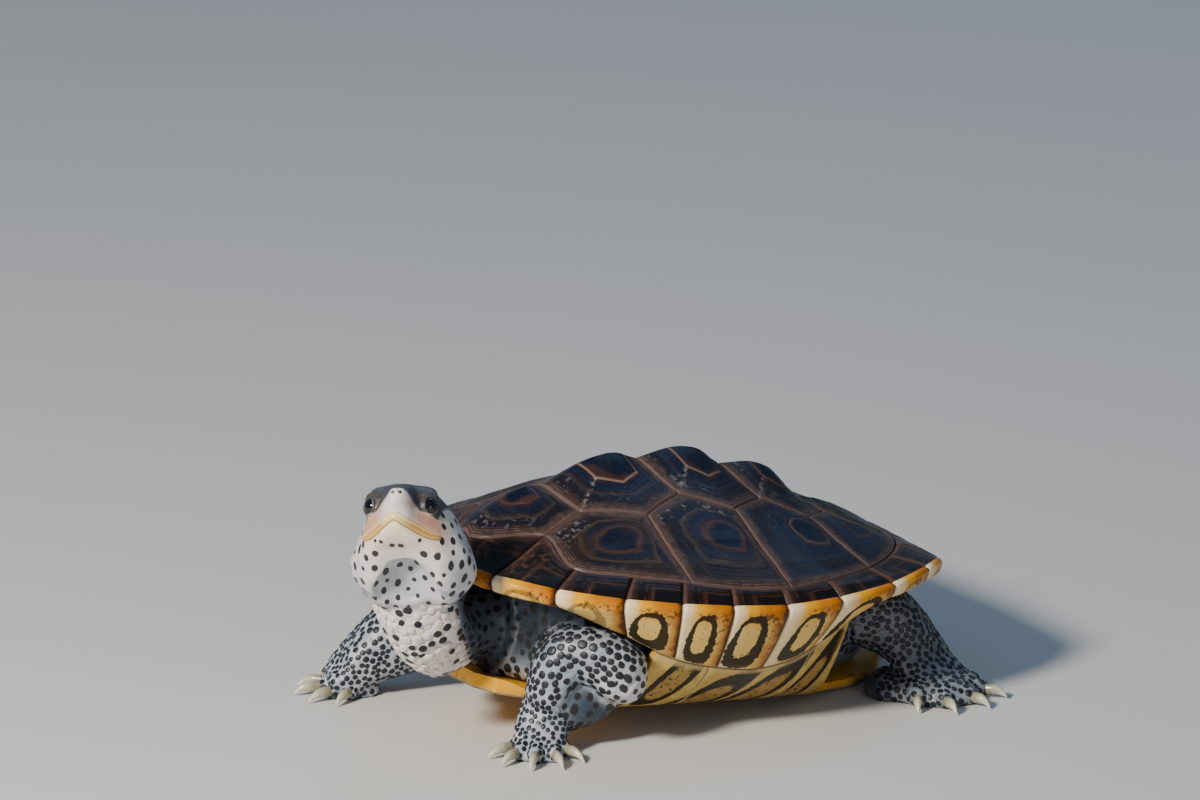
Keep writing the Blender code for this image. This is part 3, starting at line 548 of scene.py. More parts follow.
def marginal_horn():
    """Marginal scutes: dark ridged tops, a yellow edge, and pale undersides with a dark loop in each."""
    g = Graph("marginal_horn", 0.3, Coat_Weight=0.06, Coat_Roughness=0.1, Specular_IOR_Level=0.12)
    along, down, top = g.field("along"), g.field("down"), g.field("top")
    ring, ridge, count = g.field("ring"), g.field("ridge"), g.field("count")
    fine = g.noise(3.0, 4.0)
    bands = g.ramp(g.scaled(fine, 0.1, ring), (
        (0.0, (0.007, 0.006, 0.007)), (0.52, (0.007, 0.006, 0.007)), (0.6, (0.04, 0.018, 0.010)),
        (0.68, (0.010, 0.006, 0.006)), (0.84, (0.010, 0.007, 0.007)), (0.95, (0.035, 0.018, 0.014)),
        (1.0, (0.075, 0.04, 0.03))))
    worn = g.times(g.steps(ridge, 0.3, 0.9), g.patches(2.4, 4.0, 0.42, 0.68))
    upper = g.tint(bands, worn, 0.4, (0.13, 0.065, 0.042))
    # The front two marginals have orange-tan mottling.
    mottled = g.steps(g.cells(5.6, "DISTANCE_TO_EDGE"), 0.1, 0.03)
    in_front = g.times(g.steps(count, 2.6, 1.4), g.steps(g.scaled(fine, 0.5, along), 0.95, 0.65))
    mottled = g.times(mottled, g.times(in_front, g.patches(2.0, 3.0, 0.4, 0.56)))
    upper = g.tint(upper, mottled, 0.75, (0.14, 0.06, 0.025))
    # Underside: cream in front, yellow by the edge, red-brown behind.
    warm = g.steps(g.scaled(fine, 0.22, down), 0.46, 0.1)
    golden = g.mix(g.steps(g.scaled(fine, 0.3, along), 0.5, 0.8), (0.76, 0.35, 0.0), (0.54, 0.17, 0.0))
    under = g.mix(warm, (0.76, 0.5, 0.14), golden)
    cream = g.times(g.steps(along, 0.34, 0.06), g.scaled(warm, 0.3, 0.68))
    under = g.mix(cream, under, (0.9, 0.74, 0.48))
    warped = g.roughened(along, 3.2, 3.0, 0.2)
    under = g.tint(under, g.steps(warped, 0.72, 0.92), 0.8, (0.4, 0.12, 0.006))
    under = g.tint(under, g.steps(warped, 0.88, 0.99), 0.92, (0.07, 0.014, 0.004))
    ragged = g.roughened(g.field("loop"), 1.5, 4.0, 1.5)
    mark = g.times(g.steps(ragged, 1.06, 0.9), g.field("marked"))
    under = g.tint(under, mark, 0.96, (0.008, 0.006, 0.003))
    low_rim = g.times(g.steps(down, 0.0, 0.08), g.steps(down, 0.24, 0.14))
    flecks = g.steps(g.scaled(low_rim, 0.1, g.noise(1.3, 3.0)), 0.62, 0.68)
    flecks = g.times(flecks, g.times(g.steps(down, 0.0, 0.08), g.steps(along, 0.2, 0.4)))
    under = g.tint(under, flecks, 0.75, (0.06, 0.026, 0.008))
    colour = g.mix(g.steps(g.scaled(fine, 0.12, top), 0.5, 0.62), under, upper)
    seam = g.steps(g.field("edge"), 0.5, 0.15)
    colour = g.tint(colour, seam, 0.7, (0.03, 0.010, 0.006))
    roughness = g.scaled(g.noise(5.0, 4.0), 0.24, 0.2)
    return g.finish(colour, roughness, g.bump(g.noise(0.8, 3.0), 0.035))


def plastron_horn():
    """Belly plates: yellow-orange in front, olive-tan on the bridges with black-edged marks."""
    g = Graph("plastron_horn", 0.35, Coat_Weight=0.05, Coat_Roughness=0.15, Specular_IOR_Level=0.16)
    bridge, mark = g.field("bridge"), g.field("mark")
    fine = g.noise(4.0, 4.0)
    base = g.mix(g.patches(14.0, 3.0, 0.35, 0.65), (0.6, 0.26, 0.02), (0.52, 0.32, 0.1))
    base = g.mix(g.times(g.field("front"), 0.85), base, (0.85, 0.4, 0.01))
    olive = g.mix(g.steps(fine, 0.35, 0.65), (0.46, 0.3, 0.07), (0.6, 0.42, 0.12))
    colour = g.mix(bridge, base, olive)
    blotch = g.times(g.patches(7.0, 3.0, 0.58, 0.66), g.rest(bridge))
    colour = g.tint(colour, blotch, 0.5, (0.1, 0.05, 0.02))
    ragged = g.roughened(mark, 1.6, 4.0, 0.36)
    line = g.times(g.steps(ragged, 1.34, 1.22), g.steps(ragged, 0.54, 0.68))
    inside = g.times(g.steps(ragged, 0.8, 0.6), 0.75)
    colour = g.mix(inside, colour, (0.3, 0.165, 0.045))
    specks = g.times(g.patches(1.7, 2.0, 0.6, 0.66), g.steps(ragged, 0.7, 0.5))
    colour = g.tint(colour, specks, 0.85, (0.02, 0.015, 0.008))
    colour = g.mix(g.times(line, g.times(bridge, 0.97)), colour, (0.008, 0.007, 0.004))
    edge = g.field("edge")
    colour = g.tint(colour, g.steps(edge, 1.7, 0.6), 0.6, (0.52, 0.38, 0.18))
    colour = g.tint(colour, g.steps(edge, 0.3, 0.1), 0.8, (0.07, 0.03, 0.012))
    return g.finish(colour, g.scaled(fine, 0.25, 0.2), g.bump(g.noise(0.9, 3.0), 0.05))


def skin_colour(g):
    """The skin's ground colour: each field lays its own colour over the ones before it."""
    soft = g.noise(6.0, 3.0)
    ground = g.mix(g.steps(soft, 0.3, 0.7), (0.27, 0.32, 0.38), (0.4, 0.44, 0.5))
    layers = {
        "pale": g.mix(g.steps(soft, 0.35, 0.65), (0.62, 0.6, 0.59), (0.76, 0.71, 0.68)),
        "blush": (0.56, 0.31, 0.21),
        "pink": (0.86, 0.66, 0.6),
        "cream": (0.95, 0.83, 0.55),
        # Painted shade: dark bluish skin under the shell's front, at the neck's base, in the elbow's pit and
        # behind.
        "blue_shade_and_sheen": (0.009, 0.028, 0.055),
        "crown": g.mix(g.steps(soft, 0.35, 0.65), (0.04, 0.044, 0.055), (0.075, 0.08, 0.095)),
        "lids": g.mix(g.patches(1.6, 3.0, 0.3, 0.7), (0.03, 0.028, 0.03), (0.075, 0.066, 0.064)),
        # Painted shade: the dark laid behind the middle and inside the nostrils.
        "dark": (0.026, 0.028, 0.034),
    }
    for field, colour in layers.items():
        ground = g.mix(g.field(field), ground, colour)
    return ground


def skin_material():
    translucence = {"Subsurface_Weight": 0.1, "Subsurface_Scale": 0.0012}
    g = Graph("skin", 0.42, Coat_Weight=0.15, Coat_Roughness=0.3, **translucence)
    ragged = g.roughened(g.field("spot"), 1.2, 3.0, 0.5)
    colour = g.tint(skin_colour(g), g.steps(ragged, 0.12, -0.1), 0.98, (0.007, 0.006, 0.007))
    pores = g.cells(0.75, "F1")
    smooth = g.field("smooth")
    grain = g.times(g.rest(pores), g.rest(smooth))
    relief = g.plus(g.times(grain, 0.8), g.times(g.noise(1.6, 4.0), 0.7))
    roughness = g.scaled(g.noise(3.0, 3.0), 0.3, 0.3)
    return g.finish(colour, roughness, g.bump(relief, 0.13))


def scale_material():
    """Granular scales: glossy, nearly black on most and pale on some."""
    g = Graph("scales", 0.45, Specular_IOR_Level=0.35)
    ground = skin_colour(g)
    tone = g.field("tone")
    black = g.mix(g.patches(4.0, 2.0, 0.3, 0.7), (0.008, 0.009, 0.013), (0.024, 0.025, 0.032))
    # On the neck's round scales the dark mark leaves the foot pale.
    whole = g.steps(g.field("reach"), 1.06, 0.94)
    middle = g.steps(g.field("reach"), 0.97, 0.88)
    cover = g.times(tone, g.math("MINIMUM", whole, g.plus(middle, g.rest(g.field("bead")))))
    colour = g.mix(cover, ground, black)
    return g.finish(colour, g.scaled(g.noise(2.0, 3.0), 0.36, 0.24), g.bump(g.noise(0.5, 3.0), 0.04))


JAW_TRANSLUCENCE = {"Subsurface_Weight": 0.12, "Subsurface_Scale": 0.001}


def beak_horn():
    """The upper jaw's horn: a pale band over a yellow one, with thin brown lines under each."""
    g = Graph("beak_horn", 0.32, Coat_Weight=0.2, Coat_Roughness=0.2, **JAW_TRANSLUCENCE)
    band = g.scaled(g.noise(2.5, 3.0), 0.08, g.math("SUBTRACT", g.field("band"), 0.04))
    colour = g.ramp(band, (
        (0.0, (0.6, 0.4, 0.25)), (0.12, (0.72, 0.48, 0.2)), (0.4, (0.7, 0.44, 0.14)),
        (0.5, (0.36, 0.18, 0.05)), (0.56, (0.62, 0.36, 0.09)), (0.8, (0.66, 0.39, 0.1)),
        (0.93, (0.46, 0.24, 0.06)), (1.0, (0.16, 0.07, 0.03))))
    bright = g.times(g.steps(g.field("aside"), 0.4, 0.1), g.steps(band, 0.95, 0.7))
    colour = g.tint(colour, bright, 0.55, (0.95, 0.78, 0.42))
    return g.finish(colour, None, g.bump(g.noise(0.9, 3.0), 0.03))


def lower_beak_horn():
    """The lower jaw's rim: cream, like the skin that it grows out of."""
    g = Graph("lower_beak_horn", 0.36, Coat_Weight=0.15, Coat_Roughness=0.25, **JAW_TRANSLUCENCE)
    cream = (0.95, 0.83, 0.55)
    colour = g.ramp(g.field("band"), ((0.0, (0.5, 0.34, 0.14)), (0.2, cream), (1.0, cream)))
    colour = g.mix(g.steps(g.field("aside"), 0.15, 0.5), colour, (0.82, 0.66, 0.58))
    return g.finish(colour, None, g.bump(g.noise(0.9, 3.0), 0.03))


def eye_material():
    """A wet, nearly black eye with a dim brown iris round the pupil."""
    g = Graph("eye", 0.1, Coat_Weight=0.6, Coat_Roughness=0.04, IOR=1.36)
    off_axis = g.scaled(g.noise(0.9, 3.0), 0.06, g.field("off_axis"))
    pupil = (0.002, 0.002, 0.003)
    colour = g.ramp(off_axis, (
        (0.0, pupil), (0.3, pupil), (0.35, (0.008, 0.007, 0.006)), (0.5, (0.005, 0.005, 0.006)),
        (0.62, (0.003, 0.003, 0.004)), (1.0, (0.004, 0.005, 0.007))))
    return g.finish(colour)


def claw_horn():
    g = Graph("claw", 0.3, Coat_Weight=0.4, Coat_Roughness=0.1, Subsurface_Weight=0.2, Subsurface_Scale=0.001)
    along = g.scaled(g.noise(1.2, 3.0), 0.1, g.field("along"))
    colour = g.ramp(along, (
        (0.0, (0.24, 0.22, 0.15)), (0.3, (0.42, 0.4, 0.27)), (0.75, (0.6, 0.58, 0.44)),
        (1.0, (0.74, 0.72, 0.6))))
    streak = g.noise(0.8, 3.0)
    colour = g.tint(colour, g.steps(streak, 0.5, 0.7), 0.3, (0.16, 0.14, 0.09))
    return g.finish(colour, None, g.bump(streak, 0.05))




# ---------------------------------------------------------------- scutes of the carapace


# Growth rings from the areola to the seam: each one's place, drop in mm, ridge height and width share.
GROWTH_RINGS = ((0.0, 0.3, 0.1, 0.02), (0.1, 0.3, 0.16, 0.02), (0.19, 0.16, 0.14, 0.018),
                (0.3, 0.28, 0.18, 0.02), (0.41, 0.14, 0.12, 0.016), (0.5, 0.24, 0.16, 0.018),
                (0.6, 0.16, 0.12, 0.015), (0.69, 0.2, 0.14, 0.014), (0.765, 0.12, 0.12, 0.012),
                (0.825, 0.1, 0.15, 0.011), (0.872, 0.06, 0.17, 0.01), (0.914, 0.05, 0.18, 0.009),
                (0.952, 0.05, 0.17, 0.008))
STEP_SHARE, RIDGE_SHARE, GROOVE_SHARE = 0.3, 0.13, 0.6
# Mesh rings inside the areola and from it to the seam, which are closer by the seam.
AREOLA_PLACES = np.linspace(0, 1, 12, endpoint=False)[1:]
HORN_PLACES = 1 - (1 - np.linspace(0, 1, 74)) ** 1.35
# How high the horn stands over the carapace's plain surface, and the groove at a seam.
HORN_HEIGHT = 0.75
SEAM_DEPTH, SEAM_WIDTH = 0.55, 0.5
SEAM_FALL, SEAM_FALL_WIDTH = 0.25, 2.2
# The areola's share of the shader's ring field, which goes on to 1 at the seam.
AREOLA_RING = 0.18
FAR_FROM_SEAM = 99.0
SHARP_FROM = 60


def inner_stretch(start, end, count):
    return [tuple(np.ravel(inner_line(t)).tolist()) for t in np.linspace(start, end, count)]


def mirrored(points):
    return [(f, -l) for f, l in points]


def symmetric(points):
    """A closed outline from its left half, which starts and ends on the midline."""
    return points + mirrored(points[1:-1])[::-1]


def vertebral_outlines():
    front_corner, rear_corner = marginal_angle(1.0), marginal_angle(C4V5_MARGINAL)
    return [
        symmetric([*inner_stretch(0, front_corner, 9), V12_SIDE, V12_KEEL]),
        symmetric([V12_KEEL, V12_SIDE, C12_KEEL_SIDE, V23_SIDE, V23_KEEL]),
        symmetric([V23_KEEL, V23_SIDE, C23_KEEL_SIDE, V34_SIDE, V34_KEEL]),
        symmetric([V34_KEEL, V34_SIDE, C34_KEEL_SIDE, V45_SIDE, V45_KEEL]),
        symmetric([V45_KEEL, V45_SIDE, *inner_stretch(rear_corner, math.pi, 9)]),
    ]


def costal_outlines():
    angles = [marginal_angle(m) for m in (1.0, C12_MARGINAL, C23_MARGINAL, C34_MARGINAL, C4V5_MARGINAL)]
    inner_edges = [
        [C12_KEEL_SIDE, V12_SIDE],
        [C23_KEEL_SIDE, V23_SIDE, C12_KEEL_SIDE],
        [C34_KEEL_SIDE, V34_SIDE, C23_KEEL_SIDE],
        [V45_SIDE, C34_KEEL_SIDE],
    ]
    return [inner_stretch(a, b, 15) + inner for a, b, inner in zip(angles, angles[1:], inner_edges)]


# The areola of each scute: its middle f, l, its share of the outline, its own radii, how round it is,
# how much painted bluish sky reflection lies on the scute, and how clear the pale line round the areola is.
VERTEBRAL_AREOLAS = (
    ((59.0, 0.0), 0.3, (7.0, 6.0), 0.2, 0.35, 0.1),
    ((27.5, 0.0), 0.43, (9.0, 9.0), 0.15, 0.6, 1.0),
    ((-4.5, 0.0), 0.42, (9.0, 9.0), 0.15, 0.75, 0.9),
    ((-33.0, 0.0), 0.38, (6.0, 7.0), 0.3, 0.6, 0.3),
    ((-57.0, 0.0), 0.28, (4.5, 5.5), 0.4, 0.9, 0.0),
)
COSTAL_AREOLAS = (
    ((40.5, 33.0), 0.3, (8.5, 5.6), 0.85, 0.15, 0.0),
    ((4.5, 38.5), 0.3, (7.8, 6.0), 0.85, 0.3, 0.0),
    ((-30.5, 34.0), 0.32, (6.6, 6.6), 0.7, 0.85, 0.3),
    ((-55.5, 24.0), 0.34, (5.0, 6.0), 0.6, 1.0, 0.0),
)
# Corners that a pale broken line runs to from the areola, on the vertebral scutes.
LINED_CORNERS = (None, V12_SIDE, V23_SIDE, V34_SIDE, None)
LINE_WIDTH = 0.55
# Where algae start and are full on the rear scutes, in mm behind the shell's middle.
VERTEBRAL_ALGAE, COSTAL_ALGAE = (44.0, 62.0), (52.0, 76.0)


def ring_relief(ring):
    """Height of the stepped growth rings from the areola to the seam, and how sharp the ridge is."""
    height = np.zeros_like(ring)
    ridge = np.zeros_like(ring)
    for place, drop, rise, width in GROWTH_RINGS:
        lip = bell(ring, place, width)
        groove = bell(ring - place - 2.0 * width, 0, width)
        height = height - drop * STEP_SHARE * smoothstep(place, place + width, ring)
        height = height + RIDGE_SHARE * rise * (lip - GROOVE_SHARE * groove)
        ridge = np.maximum(ridge, lip)
    return height, ridge


def areola_edge(outline, centre, share, radii, roundness):
    """The areola's edge, point by point with the outline: partly the outline made smaller, partly an oval."""
    away = outline - centre
    direction = np.arctan2(away[:, 1], away[:, 0])
    oval = 1 / np.hypot(np.cos(direction) / radii[0], np.sin(direction) / radii[1])
    oval = oval[:, None] * np.stack((np.cos(direction), np.sin(direction)), 1)
    return centre + away * share * (1 - roundness) + oval * roundness


def scute_plan(outline, centre, start):
    """Rings of points from the middle to the seam, with their ring place and distance from the seam.

    The ring place is -1 in the middle, 0 on the areola's edge and 1 at the seam.
    """
    count = len(outline)
    span = np.linalg.norm(outline - start, axis=1)
    plan = [centre[None], *[centre + (start - centre) * v for v in AREOLA_PLACES]]
    plan += [start + (outline - start) * v for v in HORN_PLACES]
    ring = np.concatenate(([-1.0], np.repeat(AREOLA_PLACES - 1, count), np.repeat(HORN_PLACES, count)))
    inside = np.full(1 + len(AREOLA_PLACES) * count, FAR_FROM_SEAM)
    return np.concatenate(plan), ring, np.concatenate((inside, *[span * (1 - v) for v in HORN_PLACES]))


def scute_relief(base, ring, edge):
    """Height over the carapace at each point, and how sharp the growth ridge is there."""
    warped = smooth_noise(base, 11.0, 1)
    fine = smooth_noise(base, 3.2, 2)
    wander = 0.03 * warped * (1 - np.clip(ring, 0, 1)) + 0.009 * fine
    relief, ridge = ring_relief(np.clip(ring + wander, -0.5, 1))
    worn = 0.75 + 0.35 * warped
    pits = 0.07 * fine * (1 - smoothstep(0.0, 0.5, ring))
    dip = SEAM_DEPTH * bell(edge, 0, SEAM_WIDTH) + SEAM_FALL * np.exp(-edge / SEAM_FALL_WIDTH)
    return HORN_HEIGHT + relief * worn + pits - dip, ridge


def pale_streaking(f, l, centre, ring, edge):
    """How much pale streaking the horn gets: most on a scute's side by the keel."""
    if centre[1]:
        by_keel = smoothstep(0.1, 0.9, (abs(centre[1]) - np.abs(l)) / 14)
    else:
        by_keel = smoothstep(-4, 10, f - centre[0]) * 0.5
    return by_keel * smoothstep(0.3, 0.5, ring) * smoothstep(2.0, 4.0, edge)


def corner_line(outline, corner, share):
    """The pale line from the areola to a corner and its mirror image, at the points of the top."""
    corners = (corner, (corner[0], -corner[1]))
    aside = np.minimum(*(np.linalg.norm(outline - c, axis=1) for c in corners))
    rays = [aside * (share + (1 - share) * v) for v in HORN_PLACES]
    inside = np.full(1 + len(AREOLA_PLACES) * len(outline), 9.0)
    return bell(np.concatenate((inside, *rays)), 0, LINE_WIDTH)


def scute(name, corners, areola, made_of, algae=None, lined=None):
    """One scute with its growth ridges, thickened inwards to a closed shell."""
    centre, share, radii, roundness, blue_shade_and_sheen, outlined = areola
    centre = np.array(centre)
    outline = outline_of(corners, 0.85)
    count = len(outline)
    start = areola_edge(outline, centre, share, radii, roundness)
    plan, ring, edge = scute_plan(outline, centre, start)
    f, l = plan.T
    base = np.stack((f, l, carapace(f, l)), -1)
    height, ridge = scute_relief(base, ring, edge)
    normals = surface_normals(carapace, f, l, 1.0)
    top = base + normals * height[:, None]
    # The underside: the seam's ring set inwards, one ring between, and a middle point.
    rim_ring = base[-count:] - normals[-count:] * (PLATE - 0.4)
    middle = centre + (outline - centre) * 0.5
    low = np.stack((*middle.T, carapace(*middle.T) - PLATE), -1)
    bottom = np.array([[*centre, carapace(*centre) - PLATE]])
    points = np.concatenate((top, rim_ring, low, bottom))
    faces = plate_faces(len(AREOLA_PLACES) + len(HORN_PLACES) + 2, count)
    inside = np.clip(ring, 0, 1)
    places = np.where(ring < 0, (ring + 1) * AREOLA_RING, AREOLA_RING + (1 - AREOLA_RING) * inside)
    fields = {
        "ring": padded(places, points, 1.0),
        "edge": padded(edge, points),
        "ridge": padded(ridge, points),
        "algae": padded(smoothstep(*algae, -f) if algae else 0 * f, points),
        # How much painted bluish sky reflection lies on this scute.
        "blue_shade_and_sheen": np.full(len(points), blue_shade_and_sheen),
        "outlined": np.full(len(points), outlined),
        "ray": padded(corner_line(outline, lined, share) if lined else 0 * f, points),
        "pale_streak": padded(pale_streaking(f, l, centre, inside, edge), points),
    }
    new_piece(name, shell(points), faces, made_of, [name], fields, SHARP_FROM)


def build_scutes():
    horn = carapace_horn()
    vertebrals = zip(vertebral_outlines(), VERTEBRAL_AREOLAS, LINED_CORNERS, (None,) * 4 + (VERTEBRAL_ALGAE,))
    for i, (corners, areola, lined, algae) in enumerate(vertebrals, 1):
        scute(f"vertebral_{i}", corners, areola, horn, algae, lined)
    costals = zip(costal_outlines(), COSTAL_AREOLAS, (None,) * 3 + (COSTAL_ALGAE,))
    for i, (corners, ((f, l), *rest), algae) in enumerate(costals, 1):
        scute(f"costal_left_{i}", corners, ((f, l), *rest), horn, algae)
        scute(f"costal_right_{i}", mirrored(corners), ((f, -l), *rest), horn, algae)


# ---------------------------------------------------------------- marginals


# Points across a marginal's top, round its edge and underneath, and along it.
TOP_POINTS = 26
EDGE_POINTS = 12
UNDER_POINTS = 34
ALONG_POINTS = 46
# Marginals whose underside has a full dark loop.
LOOPED = range(4, 9)


def curve_through(points, shares):
    """Catmull-Rom through the last-but-one axis of an array of points, at shares from 0 to 1."""
    count = points.shape[-2]
    place = np.clip(shares * (count - 1), 0, count - 1)
    i = np.clip(place.astype(int), 0, count - 2)
    x = (place - i)[:, None]
    a, b, c, d = (points[..., np.clip(i + k, 0, count - 1), :] for k in (-1, 0, 1, 2))
    return b + 0.5 * x * (c - a + x * (2 * a - 5 * b + 4 * c - d + x * (3 * (b - c) + d - a)))


def marginal_sections(t):
    """Sections of the marginals at rim angles: inner seam, over the top, round the edge, in underneath."""
    f, l = rim(t)
    height = rim_height(f)
    drop = along_marginals(UNDERSIDE_DROP, t)
    end = underside_end(t)
    inner = along_marginals(MARGINAL_INNER, t)
    shares = inner[:, None] + (0.982 - inner[:, None]) * np.linspace(0, 1, TOP_POINTS)
    top_f, top_l = f[:, None] * shares, l[:, None] * shares
    top = np.stack((top_f, top_l, carapace(top_f, top_l)), -1)
    outward = unit(np.stack((f, l, np.zeros_like(f)), -1))
    edge = np.stack((f, l, height - 0.9), -1)
    low_edge = np.stack((f * 0.992, l * 0.992, height - np.minimum(EDGE_HEIGHT, drop * 0.7)), -1)
    lip = np.stack((f * 0.9965, l * 0.9965, height + 0.05), -1)
    tucked = low_edge * 0.75 + end * 0.25 + outward * 0.5
    bend = np.stack((top[:, -2], top[:, -1], lip, edge, low_edge, tucked), 1)
    rounded = curve_through(bend, np.linspace(0.2, 0.8, EDGE_POINTS + 1)[1:])
    under = np.stack((edge, low_edge, low_edge * 0.5 + end * 0.5 + outward * 0.7, end), 1)
    beneath = curve_through(under, np.linspace(1 / 3, 1, UNDER_POINTS + 1)[1:])
    return np.concatenate((top, rounded, beneath), 1)


def loop_field(along, down, count):
    """Distance from the dark loop's line, in shares of its width: a tall loop that thins out at its top."""
    x = (along - 0.44 + 0.03 * math.sin(count * 2.4)) / (0.27 + 0.025 * math.cos(count * 3.1))
    y = (down - 0.5) / (0.37 - 0.02 * math.cos(count * 1.7))
    x = x * (1.08 - 0.1 * y) + 0.14 * y
    radius = (np.abs(x) ** 3 + np.abs(y) ** 3) ** (1 / 3)
    thickness = 0.3 - 0.19 * smoothstep(0.2, -0.9, y) + 0.07 * smoothstep(-0.3, 0.8, x)
    return np.abs(radius - 1.0) / thickness


def marginal_normals(sections):
    """Unit normals over a marginal's sections, which look upwards on its top."""
    normal = np.cross(np.gradient(sections, axis=0), np.gradient(sections, axis=1))
    normal /= np.maximum(np.linalg.norm(normal, axis=-1, keepdims=True), 1e-9)
    return -normal if normal[ALONG_POINTS // 2, 4, 2] < 0 else normal


def marginal(start, end, number, mirror=False):
    """One marginal scute between two rim angles: points, faces and fields."""
    share = np.linspace(0, 1, ALONG_POINTS)
    sections = marginal_sections(start + (end - start) * share)
    columns = np.arange(sections.shape[1])[None]
    length = np.linalg.norm(np.diff(sections[:, TOP_POINTS - 1], axis=0), axis=1).sum()
    run = np.cumsum(np.linalg.norm(np.diff(sections, axis=1), axis=2), 1)
    run = np.concatenate((np.zeros((ALONG_POINTS, 1)), run), 1)
    along = np.repeat(share[:, None], columns.size, 1)
    across = np.clip(1 - run / run[:, [TOP_POINTS - 1]], 0, 1)
    edge_run = run[:, [TOP_POINTS + 3]]
    down = np.clip((run - edge_run) / (run[:, [-1]] - edge_run), 0, 1)
    top = np.repeat(columns < TOP_POINTS + 2, ALONG_POINTS, 0).astype(float)
    top[:, TOP_POINTS - 3:TOP_POINTS + 3] = np.linspace(1, 0, 6)
    seam = np.minimum(along, 1 - along) * length
    seam = np.minimum(seam, np.where(columns < TOP_POINTS, run, FAR_FROM_SEAM))
    # Growth rings run parallel to the front and the inner seam, from an areola at the rear outer corner.
    ring = np.maximum(1 - along, across**0.9)
    phase = ring * 7.5
    ridge = bell(phase - np.round(phase), 0, 0.17) * smoothstep(0.3, 0.6, ring)
    bumps = smooth_noise(sections.reshape(-1, 3), 4.5, 3).reshape(seam.shape)
    dip = 0.6 * bell(seam, 0, 0.55) + 0.2 * np.exp(-seam / 1.6)
    swell = 0.55 + 0.1 * ridge * top * (0.8 + 0.5 * bumps) + 0.07 * bumps - dip
    # Each scute is a little fuller in its middle, which notches the rim at the seams.
    swell = swell + 0.35 * bell(columns, TOP_POINTS + 5, 6.0) * np.sin(along * math.pi)
    taper = bell(columns, columns.size - 1, 3.0)
    points = sections + marginal_normals(sections) * (swell * (1 - taper))[..., None]
    # The last column lies under the inner seam and closes the scute.
    points = np.concatenate((points, sections[:, :1] - (0, 0, PLATE)), 1)
    shape = points.shape[:2]

    def closed(values, fill):
        return np.concatenate((values, np.full((ALONG_POINTS, 1), fill)), 1).ravel()

    fields = {
        "along": closed(along, 0.5), "down": closed(down, 1.0), "top": closed(top, 1.0),
        "ring": closed(ring, 1.0), "ridge": closed(ridge, 0.0), "edge": closed(seam, 0.0),
        "loop": closed(loop_field(along, down, number), 3.0),
        "count": np.full(points.size // 3, float(number)),
        "marked": np.full(points.size // 3, 1.0 if number in LOOPED else 0.55),
    }
    return points.reshape(-1, 3) * (1, -1 if mirror else 1, 1), loft_faces(*shape), fields


def build_marginals():
    horn = marginal_horn()
    scutes = []
    for side in ("left", "right"):
        for i, ends in enumerate(zip(SEAM_ANGLES[1:], SEAM_ANGLES[2:]), 1):
            scutes.append((f"marginal_{side}_{i}", f"marginals_{side}", (*ends, i, side == "right")))
    scutes.append(("nuchal_scute", "nuchal", (-SEAM_ANGLES[1], SEAM_ANGLES[1], 0)))
    for name, node, terms in scutes:
        points, faces, fields = marginal(*terms)
        new_piece(name, shell(points), faces, horn, [node], fields, SHARP_FROM)


# ---------------------------------------------------------------- plastron


def lobe_width(f):
    return spline(LOBE_WIDTHS, f)


def plastron_edge(f):
    """Half width of the plastral plates: the lobe's, or out to the marginals on the bridge."""
    on_bridge = (f > BRIDGE_REAR) & (f < BRIDGE_FRONT)
    return np.where(on_bridge, bridge_end(np.clip(f, BRIDGE_REAR, BRIDGE_FRONT))[0], lobe_width(f))


def plastron_corners(i):
    mids = [PLASTRON_FRONT, *[s[0] for s in PLASTRON_SEAMS], PLASTRON_REAR]
    edges = [PLASTRON_FRONT, *[s[1] for s in PLASTRON_SEAMS], PLASTRON_REAR]
    shares = np.linspace(0, 1, max(16, round(abs(edges[i] - edges[i + 1]) / 1.5)))
    # The lobes' round ends need closer points.
    if i == 0:
        shares = shares**2
    if i == len(PLASTRON_SEAMS):
        shares = 1 - (1 - shares) ** 2
    stations = edges[i] + (edges[i + 1] - edges[i]) * shares
    edge = [(float(f), float(plastron_edge(np.array(f)))) for f in stations]
    return [(mids[i], 0.0), *edge, (mids[i + 1], 0.0)]


# Lens marks on the bridges: middle f, share of the way out to the marginals, half length and height, slant.
BRIDGE_MARKS = ((27.0, 0.75, 7.0, 0.26, 0.9), (12.5, 0.45, 12.5, 0.33, 1.25), (-7.0, 0.52, 12.5, 0.33, 1.15),
                (-26.0, 0.55, 7.5, 0.28, 1.0))


def bridge_marks(f, l):
    """How far out from the middle of the nearest lens mark a point is: 1 on the mark's edge."""
    share = (np.abs(l) - BRIDGE_START + 6) / (plastron_edge(f) - BRIDGE_START + 6)
    nearest = np.full_like(f, 9.0)
    for middle, out, half_length, half_height, slant in BRIDGE_MARKS:
        x = (f - middle) / half_length
        y = (share - out) / half_height + slant * x
        nearest = np.minimum(nearest, np.abs(x) ** 1.5 + np.abs(y) ** 1.5)
    return nearest


